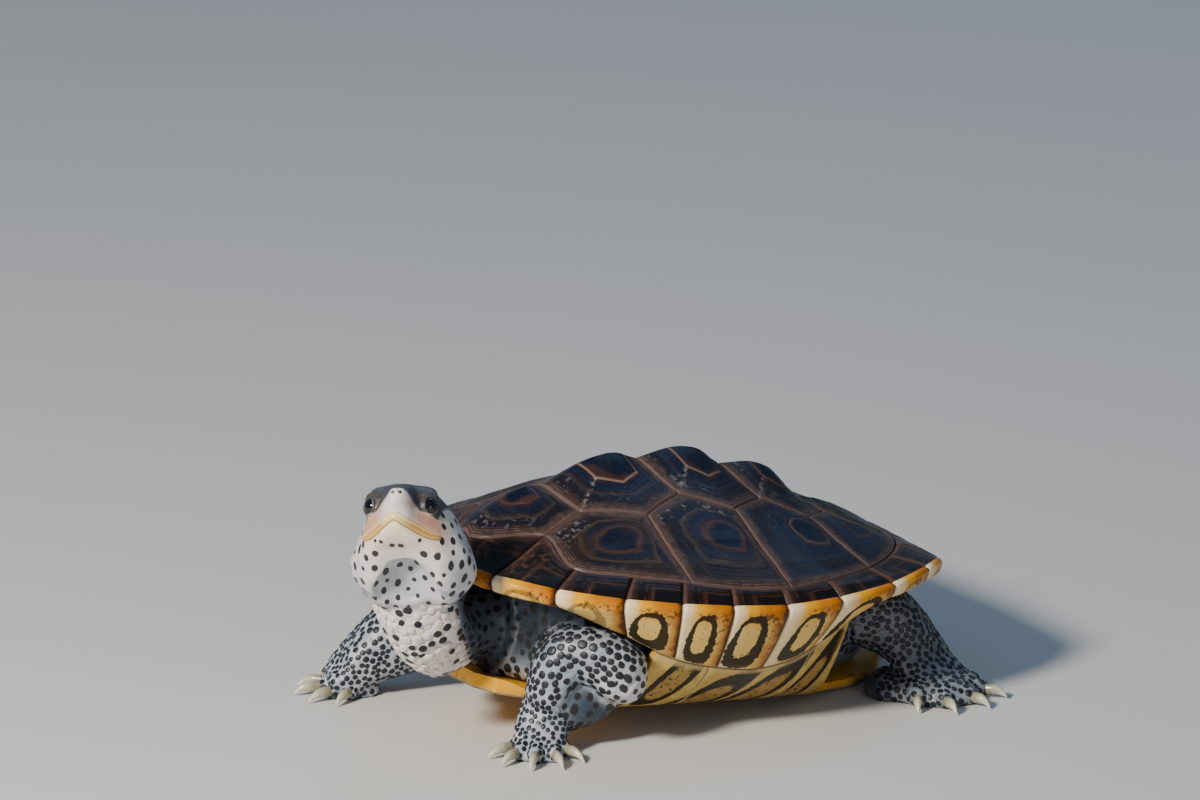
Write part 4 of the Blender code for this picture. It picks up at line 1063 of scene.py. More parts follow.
def plastron_plate(name, corners, made_of):
    """A belly plate as rings from its middle to its seam, with shallow growth lines."""
    outline = outline_of(corners, 1.1)
    count = len(outline)
    centre = outline.mean(0)
    rings = 1 - (1 - np.linspace(0, 1, 30)[1:]) ** 1.3
    span = np.linalg.norm(outline - centre, axis=1)
    plan = np.concatenate([centre[None], *[centre + (outline - centre) * r for r in rings]])
    ring = np.concatenate([[0.0], np.repeat(rings, count)])
    edge = np.concatenate([[FAR_FROM_SEAM], *[span * (1 - r) for r in rings]])
    f, l = plan.T
    base = np.stack((f, l, plastron(f, l)), -1)
    phase = ring * 9.0
    lines = bell(phase - np.round(phase), 0, 0.16) * smoothstep(0.3, 0.7, ring)
    depth = 0.3 - 0.1 * lines + 0.08 * smooth_noise(base, 5.0, 4) - 0.35 * bell(edge, 0, 0.5)
    normals = surface_normals(plastron, f, l, 1.0)
    # The free front edge is thicker.
    thickness = PLATE + 2.2 * smoothstep(62, 72, outline[:, 0])
    inner_ring = base[-count:] + normals[-count:] * thickness[:, None]
    middle = np.array([[*centre, plastron(centre[:1], centre[1:])[0] + PLATE]])
    points = np.concatenate((base - normals * depth[:, None], inner_ring, middle))
    bridge = smoothstep(BRIDGE_START - 8, BRIDGE_START + 4, np.abs(l))
    bridge = bridge * smoothstep(BRIDGE_REAR - 2, BRIDGE_REAR + 4, f)
    bridge = bridge * smoothstep(BRIDGE_FRONT + 2, BRIDGE_FRONT - 2, f)
    fields = {
        "edge": padded(edge, points, 6.0),
        "front": padded(smoothstep(25, 60, f), points, 1.0),
        "bridge": padded(bridge, points),
        "mark": padded(bridge_marks(f, l), points, 9.0),
    }
    faces = plate_faces(len(rings) + 1, count)
    new_piece(name, shell(points), faces, made_of, [name], fields, SHARP_FROM)


def build_plastron():
    horn = plastron_horn()
    for i, name in enumerate(("gular", "humeral", "pectoral", "abdominal", "femoral", "anal")):
        corners = plastron_corners(i)
        plastron_plate(f"{name}_left", corners, horn)
        plastron_plate(f"{name}_right", mirrored(corners), horn)


# ---------------------------------------------------------------- skin: the shapes that are merged


SKIN_VOXEL = 0.58
# Rounds of smoothing, and how much of its own place a point keeps in each.
SMOOTHING = 7
KEPT_PLACE = 0.45

# Widths of the soft body where it closes the shell in front and behind, in the shell frame.
FRONT_BODY = ((22.0, 46.0), (32.0, 45.0), (42.0, 42.0), (50.0, 37.0), (57.0, 31.0), (63.0, 25.0),
              (68.0, 17.0))
REAR_BODY = ((-70.0, 14.0), (-66.0, 21.0), (-60.0, 28.0), (-52.0, 34.0), (-44.0, 40.0), (-34.0, 44.0),
             (-24.0, 46.0))
BODY_CLEARANCE = 1.0

# Neck, level frame: centre f, l, u, half width, reach to the back of the neck, reach to the throat.
NECK = ((52.0, 0.0, -10.0, 16.0, 11.5, 15.0), (67.6, 0.0, -11.0, 14.3, 11.5, 14.0),
        (80.0, 1.8, -11.5, 13.2, 11.5, 13.6), (89.5, 6.6, -10.4, 13.4, 10.5, 15.8),
        (96.5, 10.4, -4.0, 14.7, 9.5, 15.8), (100.3, 12.0, 5.0, 16.4, 10.0, 15.6),
        (105.0, 15.5, 13.0, 14.5, 9.0, 13.0))

# Head sections from the snout's tip backwards: distance, top, then half width and height of the brow,
# the cheek, the jaw's edge and the jaw's lowest part, and the height of the throat between the jaws.
HEAD_SECTIONS = (
    (0.0, 4.5, 1.1, 4.2, 1.7, 3.2, 1.4, 2.2, 0.8, 1.6, 1.4),
    (1.0, 5.5, 1.8, 5.0, 2.6, 3.2, 2.2, 1.0, 1.2, -0.2, -0.6),
    (3.0, 7.1, 2.7, 6.3, 3.6, 3.2, 3.2, -0.6, 1.6, -2.8, -3.4),
    (5.0, 8.5, 3.5, 7.5, 4.6, 3.2, 4.3, -2.0, 2.1, -5.6, -6.2),
    (8.0, 10.0, 5.0, 9.0, 6.6, 3.2, 6.0, -2.8, 3.9, -6.6, -7.2),
    (12.5, 11.8, 7.6, 10.7, 9.5, 3.2, 9.5, -3.2, 6.8, -7.8, -7.9),
    (17.0, 12.7, 9.4, 11.4, 12.4, 2.4, 13.0, -4.2, 10.2, -9.0, -8.2),
    (22.0, 13.0, 10.6, 11.4, 15.5, 0.0, 16.0, -6.0, 11.4, -12.2, -9.3),
    (27.0, 12.8, 11.4, 11.0, 17.9, -1.6, 17.8, -8.4, 11.4, -14.8, -9.7),
    (33.0, 12.3, 12.0, 10.4, 19.0, -2.6, 18.4, -9.6, 11.4, -15.8, -11.4),
    (38.0, 11.3, 12.0, 9.4, 18.9, -3.0, 17.6, -10.0, 10.8, -16.0, -13.4),
    (42.0, 10.0, 11.4, 8.0, 17.4, -2.5, 15.8, -10.0, 9.6, -15.8, -15.0),
)

# The jaws bulge a little more to the left.
JOWL_SHIFT = 1.0

# Limbs: centre f, l, u, half width across, half height.
LIMBS = {
    "front_left": ((44.5, 36.0, -24.0, 6.0, 6.5), (45.5, 42.0, -24.0, 7.6, 8.6),
                   (47.5, 47.3, -22.0, 8.6, 9.6), (52.0, 44.5, -17.5, 8.4, 9.2),
                   (57.5, 38.5, -16.5, 8.4, 9.0), (61.5, 34.8, -19.5, 9.0, 8.8),
                   (64.5, 33.5, -27.0, 8.8, 8.0), (66.5, 33.0, -35.0, 8.4, 6.8),
                   (70.0, 36.0, -40.5, 8.6, 4.8), (74.0, 40.5, -43.2, 7.3, 2.4)),
    "front_right": ((49.0, -31.0, -24.0, 8.0, 8.5), (57.0, -38.2, -24.4, 9.5, 12.0),
                    (66.0, -44.0, -27.5, 10.2, 13.6), (75.0, -47.0, -31.2, 10.1, 11.4),
                    (83.0, -49.5, -35.8, 9.8, 8.6), (88.5, -51.3, -39.6, 9.4, 6.4),
                    (92.0, -52.0, -41.6, 9.0, 4.6), (96.0, -53.2, -43.2, 7.3, 2.4)),
    "hind_left": ((-47.0, 31.0, -22.0, 9.0, 9.0), (-55.0, 33.0, -22.0, 11.3, 11.3),
                  (-62.0, 35.0, -26.0, 11.3, 10.8), (-67.5, 38.5, -32.5, 10.6, 8.8),
                  (-69.5, 44.0, -38.8, 11.4, 5.8), (-71.0, 52.0, -42.2, 11.4, 3.2)),
    "hind_right": ((-47.0, -31.0, -22.0, 9.0, 9.0), (-56.0, -33.5, -22.0, 11.3, 11.3),
                   (-64.0, -36.0, -26.0, 11.3, 10.8), (-70.5, -39.5, -32.5, 10.6, 8.8),
                   (-74.0, -44.0, -38.8, 11.4, 5.8), (-78.0, -51.0, -42.2, 11.4, 3.2)),
}
# The fold of skin inside the bend of the left foreleg.
ELBOW_FOLD = ((47.0, 38.5, -27.0, 6.5, 8.5), (53.0, 38.0, -30.0, 6.8, 9.5), (59.0, 36.5, -32.0, 6.4, 9.5),
              (64.0, 34.5, -33.5, 6.0, 8.5))
TAIL = ((-60.0, 0.0, -24.0, 8.0, 8.0), (-67.5, 0.0, -27.0, 6.5, 6.5), (-76.0, -2.0, -31.0, 5.2, 5.2),
        (-84.0, -5.5, -36.0, 3.6, 3.6), (-90.0, -10.0, -40.0, 1.7, 1.7))
FLOOR_LEVEL = -RIM_HEIGHT
WEB_THICKNESS = {"front": 4.6, "hind": 7.5}
HEEL_REACH = {"front": 0.08, "hind": 0.27}
# Toes: radius and height of the middle at the root and at the tip.
TOES = {"front": (3.0, 4.8, 2.2, 2.4), "hind": (4.4, 6.6, 2.5, 2.5)}
KNUCKLE = 0.62
TOE_TIP_SHARE = 0.55
# The web's rings from its top down to the sole: share of its outline and of its thickness.
WEB_ROWS = ((0.3, 1.0), (0.8, 0.92), (0.94, 0.6), (1.0, 0.3), (0.985, 0.0))
WEB_STEP = 4
WEB_INSET = 0.9


def join_parts(parts):
    """Several (points, faces) as one."""
    faces, start = [], 0
    for part_points, part_faces in parts:
        faces += [tuple(start + i for i in face) for face in part_faces]
        start += len(part_points)
    return np.concatenate([part_points for part_points, _ in parts]), faces


def ring_turns(count):
    return np.linspace(0, 2 * math.pi, count, endpoint=False)


def path_frames(centres):
    """Left and upper directions at each point of a path."""
    ahead = unit(np.gradient(centres, axis=0))
    left = unit(np.cross((0, 0, 1.0), ahead))
    return left, np.cross(ahead, left)


def ball(middle, radius):
    """A closed sphere of quads about a point given in head terms."""
    rows = 20
    turns = ring_turns(2 * rows)
    polar = np.linspace(0.03, math.pi - 0.03, rows)[:, None]
    flat = (np.cos(turns) * np.sin(polar), np.sin(turns) * np.sin(polar), np.cos(polar) + 0 * turns)
    rings = np.array(middle) + np.stack(flat, -1) * radius
    return from_head(rings.reshape(-1, 3)), loft_faces(rows, len(turns))


def squared(values, power):
    return np.sign(values) * np.abs(values) ** power


def tube(stations, count=36, per_station=8, floor=None, power=1.0):
    """A smooth closed tube: a station's sixth number is its reach down, and a power under 1 squares it."""
    stations = np.array(stations, float)
    dense = curve_through(stations, np.linspace(0, 1, per_station * (len(stations) - 1) + 1))
    centres = dense[:, :3]
    left, up = path_frames(centres)
    turns = ring_turns(count)
    lower = dense[:, 5] if stations.shape[1] > 5 else dense[:, 4]
    rise = np.where(np.sin(turns) > 0, dense[:, 4:5], lower[:, None]) * squared(np.sin(turns), power)
    across = dense[:, 3:4] * squared(np.cos(turns), power)
    points = centres[:, None] + left[:, None] * across[..., None] + up[:, None] * rise[..., None]
    if floor is not None:
        points[..., 2] = np.maximum(points[..., 2], floor)
    return points.reshape(-1, 3), loft_faces(len(dense), count)


def body_part(widths):
    """The soft body between carapace and plastron."""
    count = 26
    rings = []
    for f in np.linspace(widths[0][0], widths[-1][0], 18):
        half = float(spline(widths, np.array(f)))
        l = half * np.cos(np.linspace(0, math.pi, count))
        fs = np.full_like(l, f)
        top = carapace(fs, l) - (PLATE + BODY_CLEARANCE) / surface_normals(carapace, fs, l, 1.5)[:, 2]
        low = plastron(fs, l) + (PLATE + BODY_CLEARANCE) / surface_normals(plastron, fs, l, 1.5)[:, 2]
        middle = (top + low) / 2
        squeeze = np.sqrt(np.clip(1 - (l / half) ** 6, 0.05, 1))
        rings.append(np.stack((fs, l, middle + (top - middle) * squeeze), -1))
        rings.append(np.stack((fs, l, middle + (low - middle) * squeeze), -1)[::-1])
    return tilt(np.concatenate(rings)), loft_faces(len(rings) // 2, 2 * count)


def head_part():
    """The head as a closed loft through its sections."""
    per_station, count = 7, 72
    table = np.array(HEAD_SECTIONS)
    spans = zip(table[:-1, 0], table[1:, 0])
    back = np.concatenate([np.linspace(a, b, per_station, endpoint=False) for a, b in spans])
    back = np.append(back, table[-1, 0])
    values = [spline(table[:, (0, k)], back) for k in range(1, table.shape[1])]
    middle = np.zeros_like(back)
    # The left side's corners from the top down: pairs of half width and height.
    left_side = [(middle, values[0]), *zip(values[1:-1:2], values[2:-1:2]), (middle, values[-1])]
    corners = left_side + [(-w, u) for w, u in left_side[-2:0:-1]]
    loop = np.stack([np.stack((back, w, u), -1) for w, u in corners], 1)
    wrapped = np.concatenate((loop[:, -2:], loop, loop[:, :3]), 1)
    shares = (2 + np.linspace(0, len(corners), count, endpoint=False)) / (wrapped.shape[1] - 1)
    points = curve_through(wrapped, shares)
    points[..., 1] += JOWL_SHIFT * smoothstep(8, 27, points[..., 0])
    return from_head(points.reshape(-1, 3)), loft_faces(len(back), count)


def paw_reach(angle, toes, length, half_width):
    """How far the foot's outline lies from its heel, at an angle from its heading."""
    side = half_width / max(abs(math.sin(angle)), 1e-6)
    front = length / max(math.cos(angle), 1e-6) ** 0.25 if math.cos(angle) > 0 else 1e6
    oval = 1 / ((1 / side) ** 3 + (1 / front) ** 3) ** (1 / 3)
    nearest = min(abs(angle - math.radians(t)) for t in toes)
    notch = 1.6 * float(smoothstep(0.0, math.radians(12), nearest) * smoothstep(-0.2, 0.6, math.cos(angle)))
    return oval - notch


def web_part(place, kind):
    """The foot's sole and webs: thin, flat below and rounded above, scalloped between the toes."""
    (f, l), heading, length, half_width, toes, _ = place
    heading = math.radians(heading)
    heel = HEEL_REACH[kind] * length
    points = []
    for share, height in WEB_ROWS:
        for angle in np.radians(np.arange(-180, 180, WEB_STEP)):
            ahead = math.cos(angle)
            reach = paw_reach(angle, toes, length, half_width)
            if ahead <= 0:
                reach = heel + (reach - heel) * (1 - ahead**2)
            if kind == "front":
                # The forefoot narrows towards the wrist.
                reach *= float(0.6 + 0.4 * smoothstep(-0.1, 0.55, ahead))
            reach = (reach - (WEB_INSET if ahead > 0.3 else 0.0)) * share
            points.append((f + reach * math.cos(heading + angle), l + reach * math.sin(heading + angle),
                           FLOOR_LEVEL + height * WEB_THICKNESS[kind]))
    return np.array(points), loft_faces(len(WEB_ROWS), 360 // WEB_STEP)


def toe_line(place, toe):
    """A toe's start at the heel, its outward direction and its reach."""
    (f, l), heading, length, half_width, toes, _ = place
    angle = math.radians(toe)
    turn = math.radians(heading) + angle
    outward = np.array((math.cos(turn), math.sin(turn), 0.0))
    return np.array((f, l, FLOOR_LEVEL)), outward, paw_reach(angle, toes, length, half_width)


def toe_parts(place, kind):
    parts = []
    root_radius, root_height, tip_radius, tip_height = TOES[kind]
    for toe in place[4]:
        heel, outward, reach = toe_line(place, toe)
        stations = []
        for share in (0.2, 0.45, KNUCKLE, 0.8, 0.92, 1.0):
            radius = root_radius + (tip_radius - root_radius) * share
            radius *= TOE_TIP_SHARE if share == 1.0 else 1.0
            # The knuckle stands a little above the rest of the toe.
            knuckle = 0.7 * math.exp(-(((share - KNUCKLE) / 0.13) ** 2))
            height = root_height + (tip_height - root_height) * share + knuckle
            point = heel + outward * (reach - 0.5) * share + (0, 0, height)
            stations.append((*point, radius, radius))
        parts.append(tube(stations, 16, 4, FLOOR_LEVEL + 0.02))
    return parts


def merged_skin(parts):
    """The parts as one closed surface of even small faces, smoothed, in metres of the level frame."""
    points, faces = join_parts(parts)
    rough = new_mesh("parts", points * MM, faces)
    skin = add_object("skin", rough)
    modifier = skin.modifiers.new("merge", "REMESH")
    modifier.mode = "VOXEL"
    modifier.voxel_size = SKIN_VOXEL * MM
    modifier.adaptivity = 0.0
    graph = bpy.context.evaluated_depsgraph_get()
    merged = bpy.data.meshes.new_from_object(skin.evaluated_get(graph))
    skin.modifiers.clear()
    skin.data = merged
    bpy.data.meshes.remove(rough)
    relax(merged, SMOOTHING)
    return skin


def mesh_points(mesh):
    points = np.empty(len(mesh.vertices) * 3)
    mesh.vertices.foreach_get("co", points)
    return points.reshape(-1, 3)


def mesh_normals(mesh):
    normals = np.empty(len(mesh.vertices) * 3)
    mesh.vertex_normals.foreach_get("vector", normals)
    return normals.reshape(-1, 3)


def put_points(mesh, points):
    mesh.vertices.foreach_set("co", np.asarray(points, np.float32).ravel())
    mesh.update()


def relax(mesh, rounds, weight=1.0):
    """Moves each point towards the middle of its neighbours, by its weight."""
    points = mesh_points(mesh)
    edges = np.empty(len(mesh.edges) * 2, int)
    mesh.edges.foreach_get("vertices", edges)
    a, b = edges.reshape(-1, 2).T
    degree = np.bincount(np.concatenate((a, b)), minlength=len(points))[:, None]
    for _ in range(rounds):
        total = np.zeros_like(points)
        for ends, others in ((a, b), (b, a)):
            for axis in range(3):
                total[:, axis] += np.bincount(ends, points[others, axis], len(points))
        moved = points * KEPT_PLACE + total / np.maximum(degree, 1) * (1 - KEPT_PLACE)
        points = points + (moved - points) * np.reshape(weight, (-1, 1))
    put_points(mesh, points)


# ---------------------------------------------------------------- skin: the face


# Shapes pushed into the head: middle in head terms (back, left, up), radius, and the move back, left and up.
# Each is made on both sides.
FACE_FORMS = (
    ((12.0, 8.2, 9.2), 3.7, (0.0, 1.9, 0.8)),
    ((10.0, 0.0, 11.0), 4.0, (0.0, 0.0, 0.6)),
    ((16.5, 0.0, 12.0), 5.0, (0.0, 0.0, -0.7)),
    ((7.8, 6.0, 3.6), 2.6, (0.5, -0.6, 0.0)),
    ((21.0, 13.6, -4.0), 3.0, (0.4, -0.5, 0.0)),
    ((30.0, 18.0, -7.0), 6.5, (0.0, 0.4, -0.3)),
)
EYE_MIDDLE = (12.3, 7.9, 4.2)
EYEBALL = 3.8
ORBIT = 4.25
EYE_GAZE = (0.7, 0.7, -0.12)
APERTURE = (2.2, 2.75)
LID_HEIGHT = 0.3
NOSTRIL_PLACE = (0.35, 1.2, 3.3)
# The nose leans a little to the left.
NOSE_SHIFT = 0.95
# The part of the head that gets finer faces.
FACE_LENGTH, FACE_HALF_WIDTH = 25.0, 20.0
# The hollow under the throat: where it starts, its half width there and at most, how it widens, its depth.
HOLLOW_START, HOLLOW_WIDTH, HOLLOW_WIDEST = 20.8, 4.2, 10.5
HOLLOW_WIDENING, HOLLOW_DEPTH = 0.85, 2.4
MOUTH_CORNER_CREASE = ((18.2, 12.7, -4.5), (19.4, 13.6, -4.9), (20.4, 14.3, -5.5))


def eye_axes(side):
    """Gaze, forward along the lids, and upward directions of an eye in head terms."""
    forward, left, up = EYE_GAZE
    gaze = unit(np.array((-forward, left * side, up)))
    along = unit(np.cross((0.12, 0.0, 1.0), gaze))
    return gaze, along, np.cross(gaze, along)


def folded(head):
    """Points in head terms, with the right side folded over onto the left."""
    return head * (1, 0, 1) + np.abs(head) * (0, 1, 0)


def crease_share(head):
    """How near points in head terms are to the creases that run on from the corners of the mouth."""
    line = curve_through(np.array(MOUTH_CORNER_CREASE), np.linspace(0, 1, 12))
    nearest = np.min([np.sum((folded(head) - point) ** 2, 1) for point in line], axis=0)
    return np.exp(-nearest / 0.5**2)


def refine_face(mesh):
    """Splits the faces of the front of the head in four, and rounds the crown."""
    back, side, up = to_head(mesh_points(mesh) / MM).T
    chosen = (back < FACE_LENGTH) & (np.abs(side) < FACE_HALF_WIDTH) & (up > -FACE_HALF_WIDTH)
    shaped = bmesh.new()
    shaped.from_mesh(mesh)
    shaped.verts.ensure_lookup_table()
    edges = [e for e in shaped.edges if chosen[e.verts[0].index] and chosen[e.verts[1].index]]
    bmesh.ops.subdivide_edges(shaped, edges=edges, cuts=1, use_grid_fill=True)
    shaped.to_mesh(mesh)
    shaped.free()
    back, side, up = to_head(mesh_points(mesh) / MM).T
    within = np.abs(side) < FACE_HALF_WIDTH
    relax(mesh, 3, smoothstep(FACE_LENGTH + 1, FACE_LENGTH - 2, back) * within)
    # The edges of the crown behind the eyes are rounder.
    crown = smoothstep(13, 18, back) * smoothstep(44, 38, back) * smoothstep(3, 7, up)
    relax(mesh, 40, crown * within)


def nostrils():
    """Middles of both nostrils in head terms."""
    return [on_side(NOSTRIL_PLACE, side) + (0, NOSE_SHIFT * 0.9, 0) for side in (1, -1)]


def lay_lids(head, side):
    """Points in head terms, with those round an eye laid over the eyeball as lids."""
    middle = on_side(EYE_MIDDLE, side)
    gaze, along, upward = eye_axes(side)
    offset = head - middle
    distance = np.linalg.norm(offset, axis=1)
    ring = np.hypot(offset @ along / APERTURE[0], offset @ upward / APERTURE[1])
    lid = EYEBALL + LID_HEIGHT + 0.12 * bell(ring, 1.16, 0.13) - 0.15 * bell(ring, 1.4, 0.09)
    target = np.where(ring < 1.0, EYEBALL - 1.2, lid)
    share = smoothstep(1.7, 1.15, ring) * smoothstep(0.5, 1.5, offset @ gaze)
    scale = 1 + (target / np.maximum(distance, 1e-6) - 1) * share
    return middle + offset * scale[:, None]


def hollow_half_width(back):
    return HOLLOW_WIDTH + HOLLOW_WIDENING * (back - HOLLOW_START)


def shape_face(mesh):
    """Brows, cheeks, lids, throat, nose and nostrils."""
    head = to_head(mesh_points(mesh) / MM)
    for middle, radius, move in FACE_FORMS:
        for side in (1, -1) if middle[1] else (1,):
            share = np.exp(-(np.sum((head - on_side(middle, side)) ** 2, 1) / radius**2))
            head += share[:, None] * on_side(move, side)
    for side in (1, -1):
        head = lay_lids(head, side)
    back, side, up = head.T.copy()
    half_width = np.minimum(hollow_half_width(back), HOLLOW_WIDEST)
    hollow = smoothstep(-0.2, 0.9, half_width - np.abs(side))
    hollow = hollow * smoothstep(HOLLOW_START, HOLLOW_START + 0.9, back)
    hollow = hollow * smoothstep(39, 29, back) * smoothstep(-3, -6, up)
    head[:, 2] += HOLLOW_DEPTH * hollow
    head[:, 1] -= 0.55 * crease_share(head) * np.sign(head[:, 1])
    head[:, 1] += NOSE_SHIFT * smoothstep(8, 2, head[:, 0]) * smoothstep(0, 4, head[:, 2])
    for middle in nostrils():
        distance = np.linalg.norm((head - middle) * (0.6, 1.0, 1.0), axis=1)
        head[:, 0] += 1.15 * bell(distance, 0, 0.6, 3) - 0.28 * bell(distance, 1.05, 0.35)
    put_points(mesh, from_head(head) * MM)


# ---------------------------------------------------------------- skin: regions, folds and scales


ELBOW = (46.0, 48.5, -24.5)
CHEST = (71.0, 17.0, -31.0)
# Lowest height of the dark crown, by distance behind the snout's tip.
CROWN_LINE = ((0.0, 4.3), (1.0, 4.1), (3.0, 3.4), (9.0, 2.2), (12.0, 1.4), (15.0, 3.0), (18.0, 6.6),
              (22.0, 8.4), (32.0, 8.6), (42.0, 8.0))
# Single spots on the lower jaw: middle in head terms and radius.
JAW_SPOTS = (((12.0, -7.8, -8.0), 0.65), ((12.3, -5.4, -8.0), 0.7), ((14.2, -2.1, -8.2), 0.95),
             ((14.7, 0.6, -8.2), 1.0), ((12.0, 7.2, -8.0), 0.65), ((17.0, -7.9, -9.9), 1.1),
             ((19.0, -11.4, -9.8), 1.0), ((22.0, -8.8, -11.8), 1.05), ((17.5, 7.4, -10.2), 1.25),
             ((19.0, 11.6, -9.5), 1.15), ((22.0, 4.2, -9.4), 0.9), ((21.8, -2.6, -9.2), 0.7))
# How close a random spot may come to one of these.
JAW_SPOT_ROOM = 3.2
ELBOW_PIT = (57.0, 43.0, -32.0)
# Length beyond both ends of a limb's path that its unwrapped surface has room for.
UNWRAP_SPARE = 30.0
PATCH_RADIUS = 0.0015
# Reddened skin below the eyes: middle in head terms, radius and strength.
BLUSHES = (((9.5, 7.6, -0.8), 4.2, 1.0), ((15.0, 11.0, -2.2), 4.4, 1.0), ((5.0, 4.2, 2.0), 2.4, 0.5))


def limb_distance(points, stations):
    """Distance from a limb's surface, the limb's direction there, and the place on its unwrapped surface."""
    stations = np.array(stations, float)
    dense = curve_through(stations, np.linspace(0, 1, 8 * (len(stations) - 1) + 1))
    radius = (dense[:, 3] + dense[:, 4]) / 2
    ahead = unit(np.gradient(dense[:, :3], axis=0))
    best = np.full(len(points), 1e9)
    nearest = np.zeros(len(points), int)
    for k, (centre, r) in enumerate(zip(dense[:, :3], radius)):
        away = np.linalg.norm(points - centre, axis=1) - r
        closer = away < best
        best[closer] = away[closer]
        nearest[closer] = k
    left, up = path_frames(dense[:, :3])
    offset = points - dense[nearest, :3]
    run = np.append(0, np.cumsum(np.linalg.norm(np.diff(dense[:, :3], axis=0), axis=1)))
    along = run[nearest] + np.sum(offset * ahead[nearest], 1)
    turn = np.arctan2(np.sum(offset * up[nearest], 1), np.sum(offset * left[nearest], 1))
    along = (along + UNWRAP_SPARE) / (run[-1] + 2 * UNWRAP_SPARE)
    place = np.stack((along, turn / (2 * math.pi) + 0.5), 1)
    return best, ahead[nearest], np.clip(place, 0.02, 0.98)


def paw_weight(points, place):
    (f, l), heading, length, half_width, _, _ = place
    turn = math.radians(heading)
    middle = np.array((f + 0.5 * length * math.cos(turn), l + 0.5 * length * math.sin(turn)))
    away = np.linalg.norm(points[:, :2] - middle, axis=1)
    return smoothstep(half_width + 6, half_width + 1, away) * smoothstep(-33, -38, points[:, 2])


def near(points, place, radius):
    return np.exp(-(np.sum((points - np.array(place)) ** 2, 1) / radius**2))


def face_fields(head, soft):
    """Fields of the head's colours at points in head terms."""
    back, _, up = head.T
    crown = smoothstep(-0.8, 0.7, up - spline(CROWN_LINE, back) - 0.35 * soft)
    crown = crown * smoothstep(-0.4, 0.4, back + 0.25 * np.maximum(up - 4.4, 0))
    offset = folded(head) - np.array(EYE_MIDDLE)
    lids = smoothstep(5.9, 4.8, np.linalg.norm(offset, axis=1)) * smoothstep(-3.7, -3.0, offset[:, 2])
    blush = sum(share * near(folded(head), place, radius) for place, radius, share in BLUSHES)
    chin = smoothstep(-2.5, -5.0, up) * smoothstep(23, 15, back)
    # The nostrils' openings are painted dark as shade inside them.
    holes = np.min([np.linalg.norm((head - hole) * (0.3, 1, 1), axis=1) for hole in nostrils()], axis=0)
    return {
        "holes": smoothstep(0.7, 0.45, holes),
        "crown": crown,
        "lids": lids,
        "blush": np.clip(blush, 0, 1) * (1 - crown) * (1 - lids),
        "pink": chin * 0.75,
        "cream": near(head, (6.5, 0.0, -6.0), 4.6) * smoothstep(-3.0, -4.5, up),
    }


